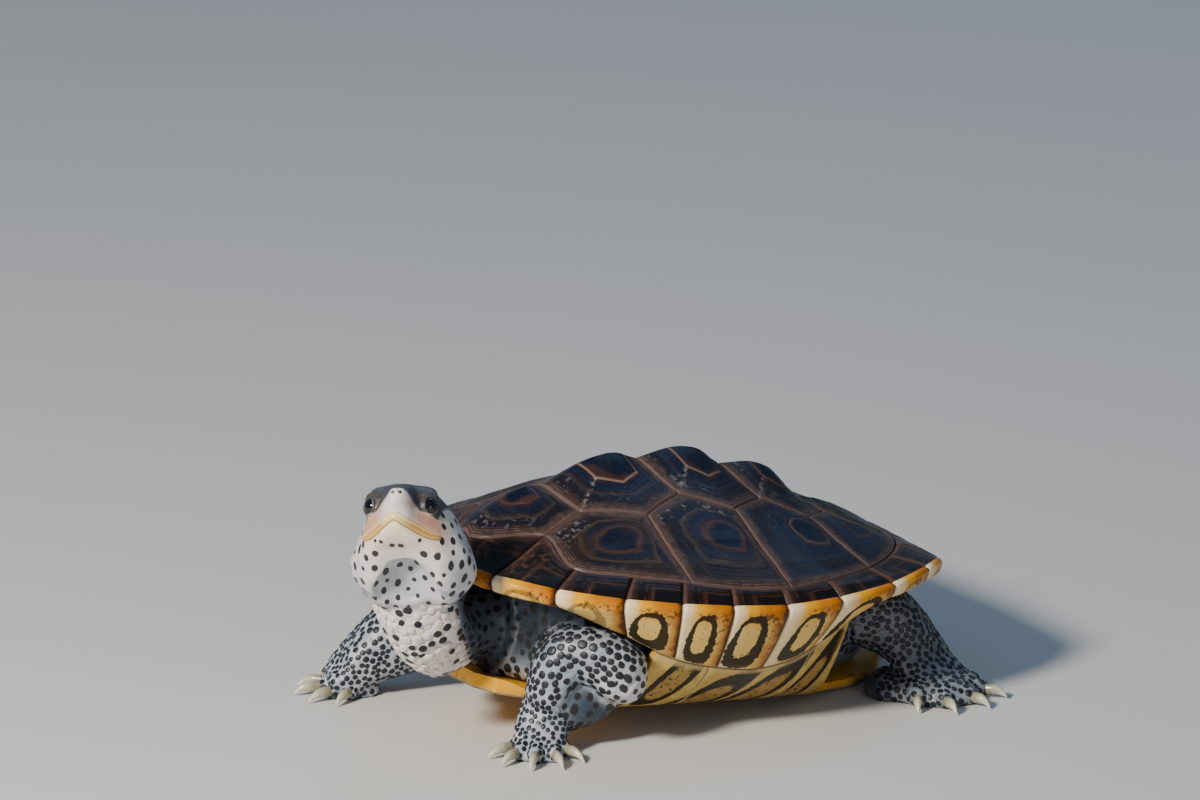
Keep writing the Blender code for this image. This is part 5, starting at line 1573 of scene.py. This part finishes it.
class Regions:
    """How much each point of the level frame belongs to each region of the skin, from 0 to 1."""

    def __init__(self, points):
        self.points = points
        self.head_places = to_head(points)
        self.back, self.side, self.up = back, side, up = self.head_places.T
        self.head = smoothstep(43, 37, back) * (np.abs(side) < 26) * (np.abs(up + 2) < 24)
        self.runs = {name: limb_distance(points, stations) for name, stations in LIMBS.items()}
        self.paws = {name: paw_weight(points, place) for name, place in PAWS.items()}
        on_limb = {name: smoothstep(3.5, 1.0, self.runs[name][0]) for name in LIMBS}
        self.limbs = {name: np.maximum(on_limb[name], self.paws[name]) for name in LIMBS}
        self.front = np.maximum(self.limbs["front_left"], self.limbs["front_right"]) * (1 - self.head)
        self.hind = np.maximum(self.limbs["hind_left"], self.limbs["hind_right"])
        self.tail_run = limb_distance(points, TAIL)
        self.tail = smoothstep(2.5, 0.8, self.tail_run[0]) * (points[:, 0] < -60)
        self.neck_run = limb_distance(points, [station[:5] for station in NECK])
        self.neck = smoothstep(7.0, 4.5, self.neck_run[0]) * (1 - self.head) * (1 - self.front)
        self.neck = self.neck * (points[:, 0] > 60)
        self.elbow = near(points, ELBOW, 10.5) * self.front
        self.pit = near(points, ELBOW_PIT, 9.0) * (1 - self.elbow)
        self.throat = smoothstep(0.0, 1.5, hollow_half_width(back) - np.abs(side)) * smoothstep(21, 23, back)
        self.throat = self.throat * smoothstep(-4, -7, up) * self.head
        self.rear = smoothstep(0, -20, points[:, 0])
        # Below this line across the base of the neck the skin gets painted dark bluish shade.
        self.up_neck = 1.6 * points[:, 0] - points[:, 1] - 0.35 * (points[:, 2] + 22)
        soft = smooth_noise(points, 7.0, 5)
        face = face_fields(self.head_places, soft)
        self.face = {name: values * self.head for name, values in face.items()}
        self.fields = self.colour_fields(soft)

    def colour_fields(self, soft):
        """The fields that the skin's and scales' colours are mixed by."""
        points, face = self.points, self.face
        chest = near(points, CHEST, 9.5) * (1 - self.front)
        shaded = smoothstep(121, 115, self.up_neck) * self.neck
        # Painted shade, dark bluish: the body under the shell, the shaded base of the neck, the upper parts
        # of the front legs, the elbow's pit, and half of it behind the middle, less on the hind legs.
        body = (1 - self.head) * (1 - self.front) * (1 - self.neck) * (1 - chest)
        blue_shade_and_sheen = np.maximum(0.95 * body, 0.9 * shaded)
        blue_shade_and_sheen = np.maximum(blue_shade_and_sheen, 0.3 * self.front * smoothstep(-28, -16, points[:, 2]))
        blue_shade_and_sheen = np.maximum(blue_shade_and_sheen, 0.9 * np.minimum(1.4 * self.pit, 1))
        blue_shade_and_sheen = np.where(points[:, 0] < 0, 0.5 * (1 - 0.5 * self.hind), blue_shade_and_sheen)
        # Painted shade: the head's skin is less pale on the jowls towards the back and in the hollow under
        # the throat.
        painted_jowl_shade = smoothstep(9.0, 17.0, np.abs(self.side)) * smoothstep(15, 24, self.back)
        pale = self.head * (1 - 0.45 * painted_jowl_shade - 0.55 * self.throat)
        for share in (self.neck * (1 - 0.7 * shaded), chest, self.elbow):
            pale = np.maximum(pale, share)
        # Painted shade behind the middle, where the rear lies in shadow, lighter on the hind feet.
        paw = np.maximum(self.paws["hind_left"], self.paws["hind_right"])
        dark = self.rear * np.clip(0.62 - 0.3 * paw + 0.15 * soft, 0, 1)
        return {
            "pale": pale,
            "blue_shade_and_sheen": blue_shade_and_sheen * (1 - self.elbow),
            # Painted shade behind the middle and in the nostrils.
            "dark": np.maximum(dark, face["holes"]),
            "smooth": self.head,
            "pink": np.maximum(face["pink"], 0.3 * self.neck * (1 - shaded)),
            **{name: face[name] for name in ("crown", "lids", "blush", "cream")},
        }

    def scale_spacing(self):
        """How far apart the scales stand, or 0 where there are none."""
        neck = self.neck * smoothstep(118, 120, self.up_neck)
        cover = np.maximum(np.maximum(self.front, self.hind), np.maximum(self.tail, neck)) * (1 - self.head)
        cover = cover * (1 - smoothstep(0.35, 0.45, self.elbow)) * (1 - smoothstep(0.3, 0.4, self.pit))
        low = smoothstep(-20, -36, self.points[:, 2])
        places = [self.tail > 0.3, self.hind > 0.3, self.front > 0.3]
        spacing = np.select(places, [1.8, 1.95, 2.35 - 0.62 * low], 2.55)
        return spacing * (cover > 0.35)

    def spot_layout(self, scale_spacing):
        """Spacing and radius of the flat dark spots on the head, the elbow and the skin without scales."""
        back, side, up = self.back, self.side, self.up
        jowl = smoothstep(16.5, 19.0, back + 0.2 * np.abs(side)) * smoothstep(3.0, 0.0, up - 4.0)
        dotted = self.head * np.maximum(jowl, self.throat)
        dotted = dotted * (1 - self.face["crown"]) * (1 - self.face["lids"])
        dotted = dotted * (1 - smoothstep(24, 20, back) * smoothstep(-7, -9, up))
        bare = (scale_spacing == 0) & (self.head < 0.5) & (self.rear < 0.5)
        places = [self.elbow > 0.45, dotted * self.throat > 0.5, dotted > 0.5]
        spacing = np.select([*places, bare], [3.3, 3.6, 3.7, 3.3])
        return spacing, np.select(places, [1.1, 0.88, 0.95], 1.15)

    def lie(self):
        """The way that scales and spots point, and each point's place on the unwrapped skin."""
        way = np.where((self.neck > 0.4)[:, None], self.neck_run[1], HEAD_AXES[2] + 0.6 * HEAD_AXES[0])
        # The unwrapped neck, legs and tail lie side by side in rows of the map.
        rows = [(self.limbs[name], self.runs[name]) for name in LIMBS] + [(self.tail, self.tail_run)]
        unwrapped = self.neck_run[2] / (1, len(rows) + 1)
        for k, (share, (_, run_way, place)) in enumerate(rows, 1):
            here = (share > 0.3)[:, None]
            way = np.where(here, run_way, way)
            unwrapped = np.where(here, (place + (0, k)) / (1, len(rows) + 1), unwrapped)
        return way, unwrapped

    def beads(self):
        """Where the scales are the neck's pale beads."""
        return (self.neck > 0.4) & (self.front < 0.3)


def tree_of(points, indexes):
    """A search tree over the indexed points."""
    tree = kdtree.KDTree(len(indexes))
    for i in indexes:
        tree.insert(points[i], int(i))
    tree.balance()
    return tree


def spread(points, spacing, stream):
    """Indexes of points picked at random that keep their own spacing from each other; none where it is 0."""
    order = stream.permutation(np.flatnonzero(spacing > 0))
    tree = tree_of(points, order)
    free = np.ones(len(points), bool)
    chosen = []
    for i in order:
        if free[i]:
            chosen.append(i)
            free[[j for _, j, _ in tree.find_range(points[i], spacing[i])]] = False
    return np.array(chosen)


def in_surface(directions, normals):
    """Unit directions turned into the surface that has these normals."""
    flat = directions - normals * np.sum(directions * normals, 1, keepdims=True)
    return flat / np.maximum(np.linalg.norm(flat, axis=1, keepdims=True), 1e-6)


def spot_field(points, normals, spacing, radius, way, placed, stream):
    """Distance in mm to the edge of the nearest dark spot; it is less than 0 inside one."""
    chosen = spread(points, spacing, stream)
    sizes = radius[chosen] * stream.uniform(0.72, 1.2, len(chosen))
    lengths = stream.uniform(1.0, 1.6, len(chosen))
    own = from_head([place for place, _ in placed])
    free = np.min(np.linalg.norm(points[chosen][:, None] - own[None], axis=2), axis=1) >= JAW_SPOT_ROOM
    nearest = [int(np.argmin(np.sum((points - place) ** 2, 1))) for place in own]
    chosen = np.concatenate((chosen[free], nearest))
    sizes = np.concatenate((sizes[free], [size for _, size in placed]))
    lengths = np.concatenate((lengths[free], np.full(len(own), 1.15)))
    middles, ways = points[chosen], in_surface(way[chosen] + 1e-3, normals[chosen])
    tree = tree_of(middles, range(len(middles)))
    found = np.array([[k for _, k, _ in tree.find_n(point, 3)] for point in points])
    offset = points[:, None] - middles[found]
    along = np.sum(offset * ways[found], 2)
    away = np.sqrt(np.maximum(np.sum(offset**2, 2) - along**2 * (1 - 1 / lengths[found] ** 2), 0))
    return np.clip(np.min(away - sizes[found], axis=1), -3, NO_SPOT)


def wrinkle(points, head, on_head, pale):
    """Creases across the neck, the chest and the wrists, and fine relief, in mm along the normal."""
    along_neck = points[:, 0] * 0.55 + points[:, 2] * 0.75 + 0.25 * points[:, 1]
    soft = smooth_noise(points, 9.0, 6)
    fine = smooth_noise(points, 3.0, 7)
    phase = along_neck / 4.6 + 0.7 * soft
    crease = -bell(phase - np.round(phase), 0, 0.16)
    depth = 0.5 * crease * (pale * (1 - on_head)) + 0.24 * fine * (1 - on_head) + 0.04 * fine * on_head
    # Folds under the throat between the jaws.
    throat = smoothstep(27, 33, head[:, 0]) * smoothstep(-6, -10, head[:, 2]) * on_head
    folds = (np.sin(head[:, 0] / 1.15 + 1.4 * soft) * 0.12 + 0.22 * fine) * throat
    wrist = np.zeros(len(points))
    for name in PAWS:
        away = np.linalg.norm(points - LIMBS[name][-3][:3], axis=1)
        wrist += bell(away, 0, 11.0, 4) * -bell(np.sin(away / 1.25 + soft), 0, 0.35) * 0.3
    return depth + folds + wrist * (1 - on_head)


SCALE_SIDES = 9
# Rows of a scale from its foot up: share of its radius and height.
SCALE_ROWS = ((1.0, -0.14), (0.92, 0.22), (0.66, 0.38))
SCALE_TOP = 0.43
# Length, width and height of a flat scale and of a bead, and how many are dark.
SCALE_SIZE, BEAD_SIZE = (1.13, 1.0, 0.5), (1.12, 1.08, 0.72)
DARK_SCALES, DARK_BEADS = 0.97, 0.24
# A distance from the nearest spot that is out of its reach.
NO_SPOT = 3.0


def room_around(middles):
    """Radius for a scale at each point that nearly reaches its nearest neighbour's."""
    tree = tree_of(middles, range(len(middles)))
    return 0.475 * np.array([tree.find_n(middle, 2)[1][2] for middle in middles])


def add_unwrap(mesh, places):
    """A map over the skin, from each point's place on the unwrapped skin."""
    layer = mesh.uv_layers.new(name="OFBake")
    corners = np.empty(len(mesh.loops), np.int32)
    mesh.loops.foreach_get("vertex_index", corners)
    layer.data.foreach_set("uv", places[corners].astype(np.float32).ravel())


def dome_faces():
    """Faces of one scale: its rows, its top and its foot."""
    top, apex = (len(SCALE_ROWS) - 1) * SCALE_SIDES, len(SCALE_ROWS) * SCALE_SIDES
    faces = strip_faces(len(SCALE_ROWS), SCALE_SIDES)
    faces += [(top + j, top + (j + 1) % SCALE_SIDES, apex) for j in range(SCALE_SIDES)]
    return [*faces, tuple(range(SCALE_SIDES - 1, -1, -1))]


def build_scales(name, points, normals, spacing, region, made_of, stream):
    """Low domes over the limbs, neck and tail, the granular scales, as one mesh."""
    chosen = spread(points, spacing, stream)
    middle, normal = points[chosen], normals[chosen]
    way, unwrapped = (values[chosen] for values in region.lie())
    along = in_surface(way + 1e-3, normal)
    aside = np.cross(normal, along)
    bead = region.beads()[chosen]
    length, width, height = np.where(bead[:, None], BEAD_SIZE, SCALE_SIZE).T
    size = room_around(middle) * stream.uniform(0.95, 1.05, len(chosen))
    rise = size * height
    turns = ring_turns(SCALE_SIDES)
    rows = []
    for share, lift in SCALE_ROWS:
        uneven = 1 + stream.uniform(-0.11, 0.11, (len(chosen), SCALE_SIDES))
        x = (size * length)[:, None] * share * np.cos(turns) * uneven
        y = (size * width)[:, None] * share * np.sin(turns) * uneven
        lifted = (rise * lift)[:, None, None] * normal[:, None]
        rows.append(middle[:, None] + along[:, None] * x[..., None] + aside[:, None] * y[..., None] + lifted)
    apex = middle + normal * (rise * SCALE_TOP)[:, None]
    domes = np.concatenate((*rows, apex[:, None]), 1)
    domes[..., 2] = np.maximum(domes[..., 2], FLOOR_LEVEL + 0.01)
    per = domes.shape[1]
    pattern = dome_faces()
    faces = [tuple(k * per + v for v in face) for k in range(len(chosen)) for face in pattern]
    dark = stream.uniform(0, 1, len(chosen)) < np.where(bead, DARK_BEADS, DARK_SCALES)
    shares = [share for share, _ in SCALE_ROWS]
    values = {field: np.repeat(data[chosen], per) for field, data in region.fields.items()}
    values["spot"] = np.full(len(chosen) * per, NO_SPOT)
    values["tone"] = np.repeat(dark.astype(float), per)
    values["bead"] = np.repeat(bead.astype(float), per)
    values["reach"] = np.tile([*np.repeat(shares, SCALE_SIDES), 0.0], len(chosen))
    piece = new_piece(name, level(domes.reshape(-1, 3)), faces, made_of, [], values)
    disc = PATCH_RADIUS * np.outer(shares, np.exp(1j * turns)).ravel()
    patch = np.append(np.stack((disc.real, disc.imag), 1), np.zeros((1, 2)), 0)
    add_unwrap(piece.data, (unwrapped[:, None] + patch).reshape(-1, 2))


def finish_skin(skin, name, stands_for, placed, made_of, scales, stream):
    """Wrinkles and colours the skin, grows its scales and puts it in its place in the model."""
    points, normals = mesh_points(skin.data) / MM, mesh_normals(skin.data)
    region = Regions(points)
    fields, on_head = region.fields, region.head
    points = points + normals * wrinkle(points, region.head_places, on_head, fields["pale"])[:, None]
    points[:, 2] = np.maximum(points[:, 2], FLOOR_LEVEL)
    scale_spacing = region.scale_spacing()
    build_scales(f"scales_{name}", points, normals, scale_spacing, region, scales, stream)
    fields["spot"] = np.full(len(points), NO_SPOT)
    if placed:
        spacing, radius = region.spot_layout(scale_spacing)
        spot = spot_field(points, normals, spacing, radius, region.lie()[0], placed, stream)
        spot = np.minimum(spot, 1.2 - 1.6 * crease_share(to_head(points)) * on_head)
        fields["spot"] = np.where((spacing == 0) & (on_head < 0.5), NO_SPOT, spot)
    put_points(skin.data, level(points))
    skin.name = f"skin_{name}"
    finish_piece(skin, fields, made_of, stands_for)


def limb_parts(name):
    kind = name.split("_")[0]
    power = 0.68 if name == "front_right" else 0.9
    leg = tube(LIMBS[name], floor=FLOOR_LEVEL + 0.5, power=power)
    return [leg, web_part(PAWS[name], kind), *toe_parts(PAWS[name], kind)]


def build_skin():
    stream = np.random.default_rng(SEED)
    materials = skin_material(), scale_material()
    orbits = [ball(on_side(EYE_MIDDLE, side), ORBIT) for side in (1, -1)]
    front = [body_part(FRONT_BODY), tube(NECK, 48, power=1.15), head_part(), *orbits, tube(ELBOW_FOLD)]
    skin = merged_skin([*front, *limb_parts("front_left"), *limb_parts("front_right")])
    refine_face(skin.data)
    shape_face(skin.data)
    nodes = ["trunk", "neck", "head", "leg_front_left", "leg_front_right"]
    finish_skin(skin, "front", nodes, JAW_SPOTS, *materials, stream)
    rear = [body_part(REAR_BODY), tube(TAIL, 24, floor=FLOOR_LEVEL + 0.5)]
    skin = merged_skin([*rear, *limb_parts("hind_left"), *limb_parts("hind_right")])
    finish_skin(skin, "rear", ["tail", "leg_hind_left", "leg_hind_right"], (), *materials, stream)


# ---------------------------------------------------------------- eyes, beak and claws


# How far the cornea stands out in front of the eyeball.
CORNEA_RISE = 0.22


def build_eyes():
    made_of = eye_material()
    rows, count = 40, 48
    turns = ring_turns(count)
    for name, side in (("left", 1), ("right", -1)):
        gaze, along, upward = eye_axes(side)
        polar = np.linspace(0.02, math.pi - 0.02, rows)
        circle = along[None] * np.cos(turns)[:, None] + upward[None] * np.sin(turns)[:, None]
        rings = [gaze * math.cos(p) + circle * math.sin(p) for p in polar]
        radius = EYEBALL + CORNEA_RISE * bell(polar, 0, 0.62, 4)
        points = np.concatenate([ring * r for ring, r in zip(rings, radius)])
        points = from_head(points + on_side(EYE_MIDDLE, side))
        fields = {"off_axis": np.repeat(polar / math.pi * 1.9, count)}
        faces = loft_faces(rows, count)
        new_piece(f"eyeball_{name}", level(points), faces, made_of, [f"eye_{name}"], fields)


# The mouth's line on the left side, from the beak's point back to the corner, in head terms.
MOUTH = ((4.1, 0.0, -4.5), (5.5, 2.5, -5.35), (8.0, 4.4, -5.75), (10.0, 6.0, -6.0), (12.5, 7.9, -6.15),
         (15.0, 9.9, -6.0), (18.4, 12.7, -4.5))


BEAK_THICKNESS = 1.6
# How far outside the mouth's line the search for the skin starts, and how far it goes.
SEARCH_FROM, SEARCH_REACH = 7.0, 12.0


def skin_surface():
    """The front skin in metres of the level frame, for laying the beak on it."""
    mesh = bpy.data.objects["skin_front"].data
    points = (mesh_points(mesh) - SHIFT) / MM
    points = np.stack((-points[:, 1], points[:, 0], points[:, 2] - RIM_HEIGHT), -1) * MM
    return BVHTree.FromPolygons(points.tolist(), [tuple(p.vertices) for p in mesh.polygons])


def on_skin(surface, place, out):
    """Where the skin is, looking inwards past a place in head terms; the place itself if it isn't hit."""
    start, inwards = Vector(from_head(place + out * SEARCH_FROM)), Vector(-out * (-1, 1, 1) @ HEAD_AXES)
    hit = surface.ray_cast(start * MM, inwards, SEARCH_REACH * MM)[0]
    return to_head(np.array(hit) / MM) if hit else place


def mouth_line(count):
    half = curve_through(np.array(MOUTH), np.linspace(0, 1, count))
    return np.concatenate((half[:0:-1] * (1, -1, 1), half))


def beak_strip(name, heights, proud, band, surface, made_of, stands_for):
    """Horn along the mouth: at each height over the mouth's line it stands proud of the skin."""
    line = mouth_line(90)
    ahead = np.gradient(line, axis=0)
    outward = unit(np.stack((-ahead[:, 1], ahead[:, 0], np.zeros(len(line))), -1))
    share = np.linspace(0, 1, len(line))
    ends = smoothstep(0.0, 0.07, share) * smoothstep(1.0, 0.93, share)
    grow = 1 + 0.22 * bell(np.abs(share - 0.5), 0.27, 0.14)
    rows = []
    for point, out, end, widen in zip(line, outward, ends, grow):
        row = []
        for height, stand in zip(heights, proud):
            place = point + np.array((0, 0, height * (0.3 + 0.7 * end) * widen))
            found = on_skin(surface, place, out)
            row.append(found + out * (stand * end - 0.25 * (1 - end)))
        inner = [p - out * BEAK_THICKNESS for p in (row[-1], row[0])]
        rows.append(row + inner)
    points = np.array(rows)
    # At the beak's point the brown line runs down to the lip.
    at_point = bell(share, 0.5, 0.09)
    band = np.array([*band, band[-1], band[0]])
    fields = {"band": (band[None] ** (1 + 2.2 * at_point[:, None])).ravel(),
              "aside": np.repeat(np.abs(share - 0.5) * 2, len(band))}
    faces = loft_faces(*points.shape[:2])
    new_piece(name, level(from_head(points.reshape(-1, 3))), faces, made_of, stands_for, fields, 50)


def build_beak(surface):
    share = np.linspace(0, 1, 26)
    proud = 0.1 + 0.24 * bell(share, 0.24, 0.18) + 0.26 * bell(share, 0.7, 0.16)
    proud = proud - 0.42 * smoothstep(0.86, 1, share)
    beak_strip("upper_beak", -0.3 + 2.65 * share, proud, 1 - share, surface, beak_horn(), [])
    share = np.linspace(0, 1, 12)
    proud = 0.08 - 0.4 * smoothstep(0.3, 1, share)
    beak_strip("lower_beak", -0.25 - 0.9 * share, proud, share, surface, lower_beak_horn(), ["lower_jaw"])


CLAW_RADIUS = 1.9
CLAW_ROOT_HEIGHT = 2.6
# The share of a claw's length that stands out of the toe.
CLAW_SHOWS = {"front": 0.78, "hind": 0.68}


def claw(name, place, toe, length, made_of):
    """A curved, slightly hooked claw that grows out of the toe's tip and points down to the ground."""
    heel, outward, reach = toe_line(place, toe)
    rows, count = 26, 20
    along = np.linspace(-0.3, 1, rows)
    out = np.clip(along, 0, 1)
    root = heel + (0, 0, CLAW_ROOT_HEIGHT) + outward * (reach + CLAW_GAP)
    drop = np.outer(1.15 * out - 3.1 * out**2.1, (0, 0, 1))
    centres = root + outward * (length * along)[:, None] + drop
    radius = CLAW_RADIUS * (1 - out**1.8 * 0.93)[:, None]
    ahead = unit(np.gradient(centres, axis=0))
    side = np.cross((0, 0, 1.0), outward)
    up = np.cross(ahead, side)
    turns = ring_turns(count)
    rise = np.where(np.sin(turns) > 0, 1.05, 0.8) * np.sin(turns)
    points = centres[:, None] + side * (radius * np.cos(turns) * 0.8)[..., None]
    points = points + up[:, None] * (radius * rise)[..., None]
    points[..., 2] = np.maximum(points[..., 2], FLOOR_LEVEL + 0.05)
    fields = {"along": np.repeat(out, count)}
    faces = loft_faces(rows, count)
    new_piece(f"{name}_horn", level(points.reshape(-1, 3)), faces, made_of, [name], fields)


def build_claws():
    made_of = claw_horn()
    for name, place in PAWS.items():
        kind = name.split("_")[0]
        toes, clawed = place[4:]
        for i, toe in enumerate(toes[:clawed], 1):
            claw(f"claw_{name}_{i}", place, toe, CLAW_SHOWS[kind] * CLAW_LENGTH[kind], made_of)


# ---------------------------------------------------------------- studio and camera


CAMERA_AZIMUTH = math.radians(58.0)
CAMERA_ELEVATION = math.radians(16.5)
CAMERA_DISTANCE = 3.5
SENSOR_WIDTH = 36.0
# Width of the picture at the model, and how far the view's middle is from the shell's, in metres.
PICTURE_WIDTH = 0.3846
AIM_LEFT, AIM_ABOVE = 0.02224, 0.04734
LIGHT_TARGET = Vector((0, 0, 0.04))
# Azimuth and elevation in degrees, distance and size in metres, power in watts, and colour.
LIGHTS = {
    "key": (17.0, 33.0, 1.5, 0.26, 34.0, (1.0, 0.94, 0.84)),
    "fill": (92.0, 9.0, 1.8, 0.9, 4.0, (1.0, 0.94, 0.86)),
    "back": (215.0, 50.0, 1.6, 0.8, 2.5, (0.35, 0.6, 1.0)),
}
SKY_COLOUR, SKY_STRENGTH = (0.56, 0.74, 1.0, 1.0), 0.24
FLOOR_REACH = 6.0


def view_axes(azimuth, elevation):
    """The directions back to the camera, to its right and up, for azimuth 0 looking along +Y."""
    across = math.cos(elevation)
    back = Vector((math.sin(azimuth) * across, -math.cos(azimuth) * across, math.sin(elevation)))
    right = Vector((math.cos(azimuth), math.sin(azimuth), 0))
    return back, right, back.cross(right)


def build_camera():
    back, right, up = view_axes(CAMERA_AZIMUTH, CAMERA_ELEVATION)
    origin = Vector(level((0, 0, 0)))
    aim = origin - right * AIM_LEFT + up * AIM_ABOVE
    camera = add_object("camera", bpy.data.cameras.new("camera"))
    camera.data.sensor_width = SENSOR_WIDTH
    camera.data.lens = SENSOR_WIDTH * CAMERA_DISTANCE / PICTURE_WIDTH
    camera.data.clip_end = 50.0
    camera.location = origin + back * CAMERA_DISTANCE
    camera.rotation_euler = (aim - camera.location).to_track_quat("-Z", "Y").to_euler()
    bpy.context.scene.camera = camera


def area_light(name, azimuth, elevation, distance, size, power, colour):
    """A soft light at a direction seen from the model, aimed at it."""
    back, _, _ = view_axes(math.radians(azimuth), math.radians(elevation))
    light = bpy.data.lights.new(name, "AREA")
    light.shape = "DISK"
    light.size = size
    light.energy = power
    light.color = colour
    lamp = add_object(name, light)
    lamp.location = LIGHT_TARGET + back * distance
    lamp.rotation_euler = back.to_track_quat("Z", "Y").to_euler()


def build_studio():
    mesh = bpy.data.meshes.new("floor")
    corners = [(x * FLOOR_REACH, y * FLOOR_REACH, 0) for x, y in ((-1, -1), (1, -1), (1, 1), (-1, 1))]
    mesh.from_pydata(corners, [], [(0, 1, 2, 3)])
    g = Graph("floor", 0.7)
    mesh.materials.append(g.finish(g.mix(g.noise(400.0, 2.0), (0.62, 0.61, 0.59), (0.66, 0.65, 0.63))))
    floor = add_object("floor", mesh)
    world = bpy.data.worlds.new("studio")
    world.use_nodes = True
    background = world.node_tree.nodes["Background"]
    background.inputs["Color"].default_value = SKY_COLOUR
    background.inputs["Strength"].default_value = SKY_STRENGTH
    bpy.context.scene.world = world
    for name, settings in LIGHTS.items():
        area_light(name, *settings)


build_scutes()
build_marginals()
build_plastron()
build_skin()
build_eyes()
build_beak(skin_surface())
build_claws()
build_camera()
build_studio()
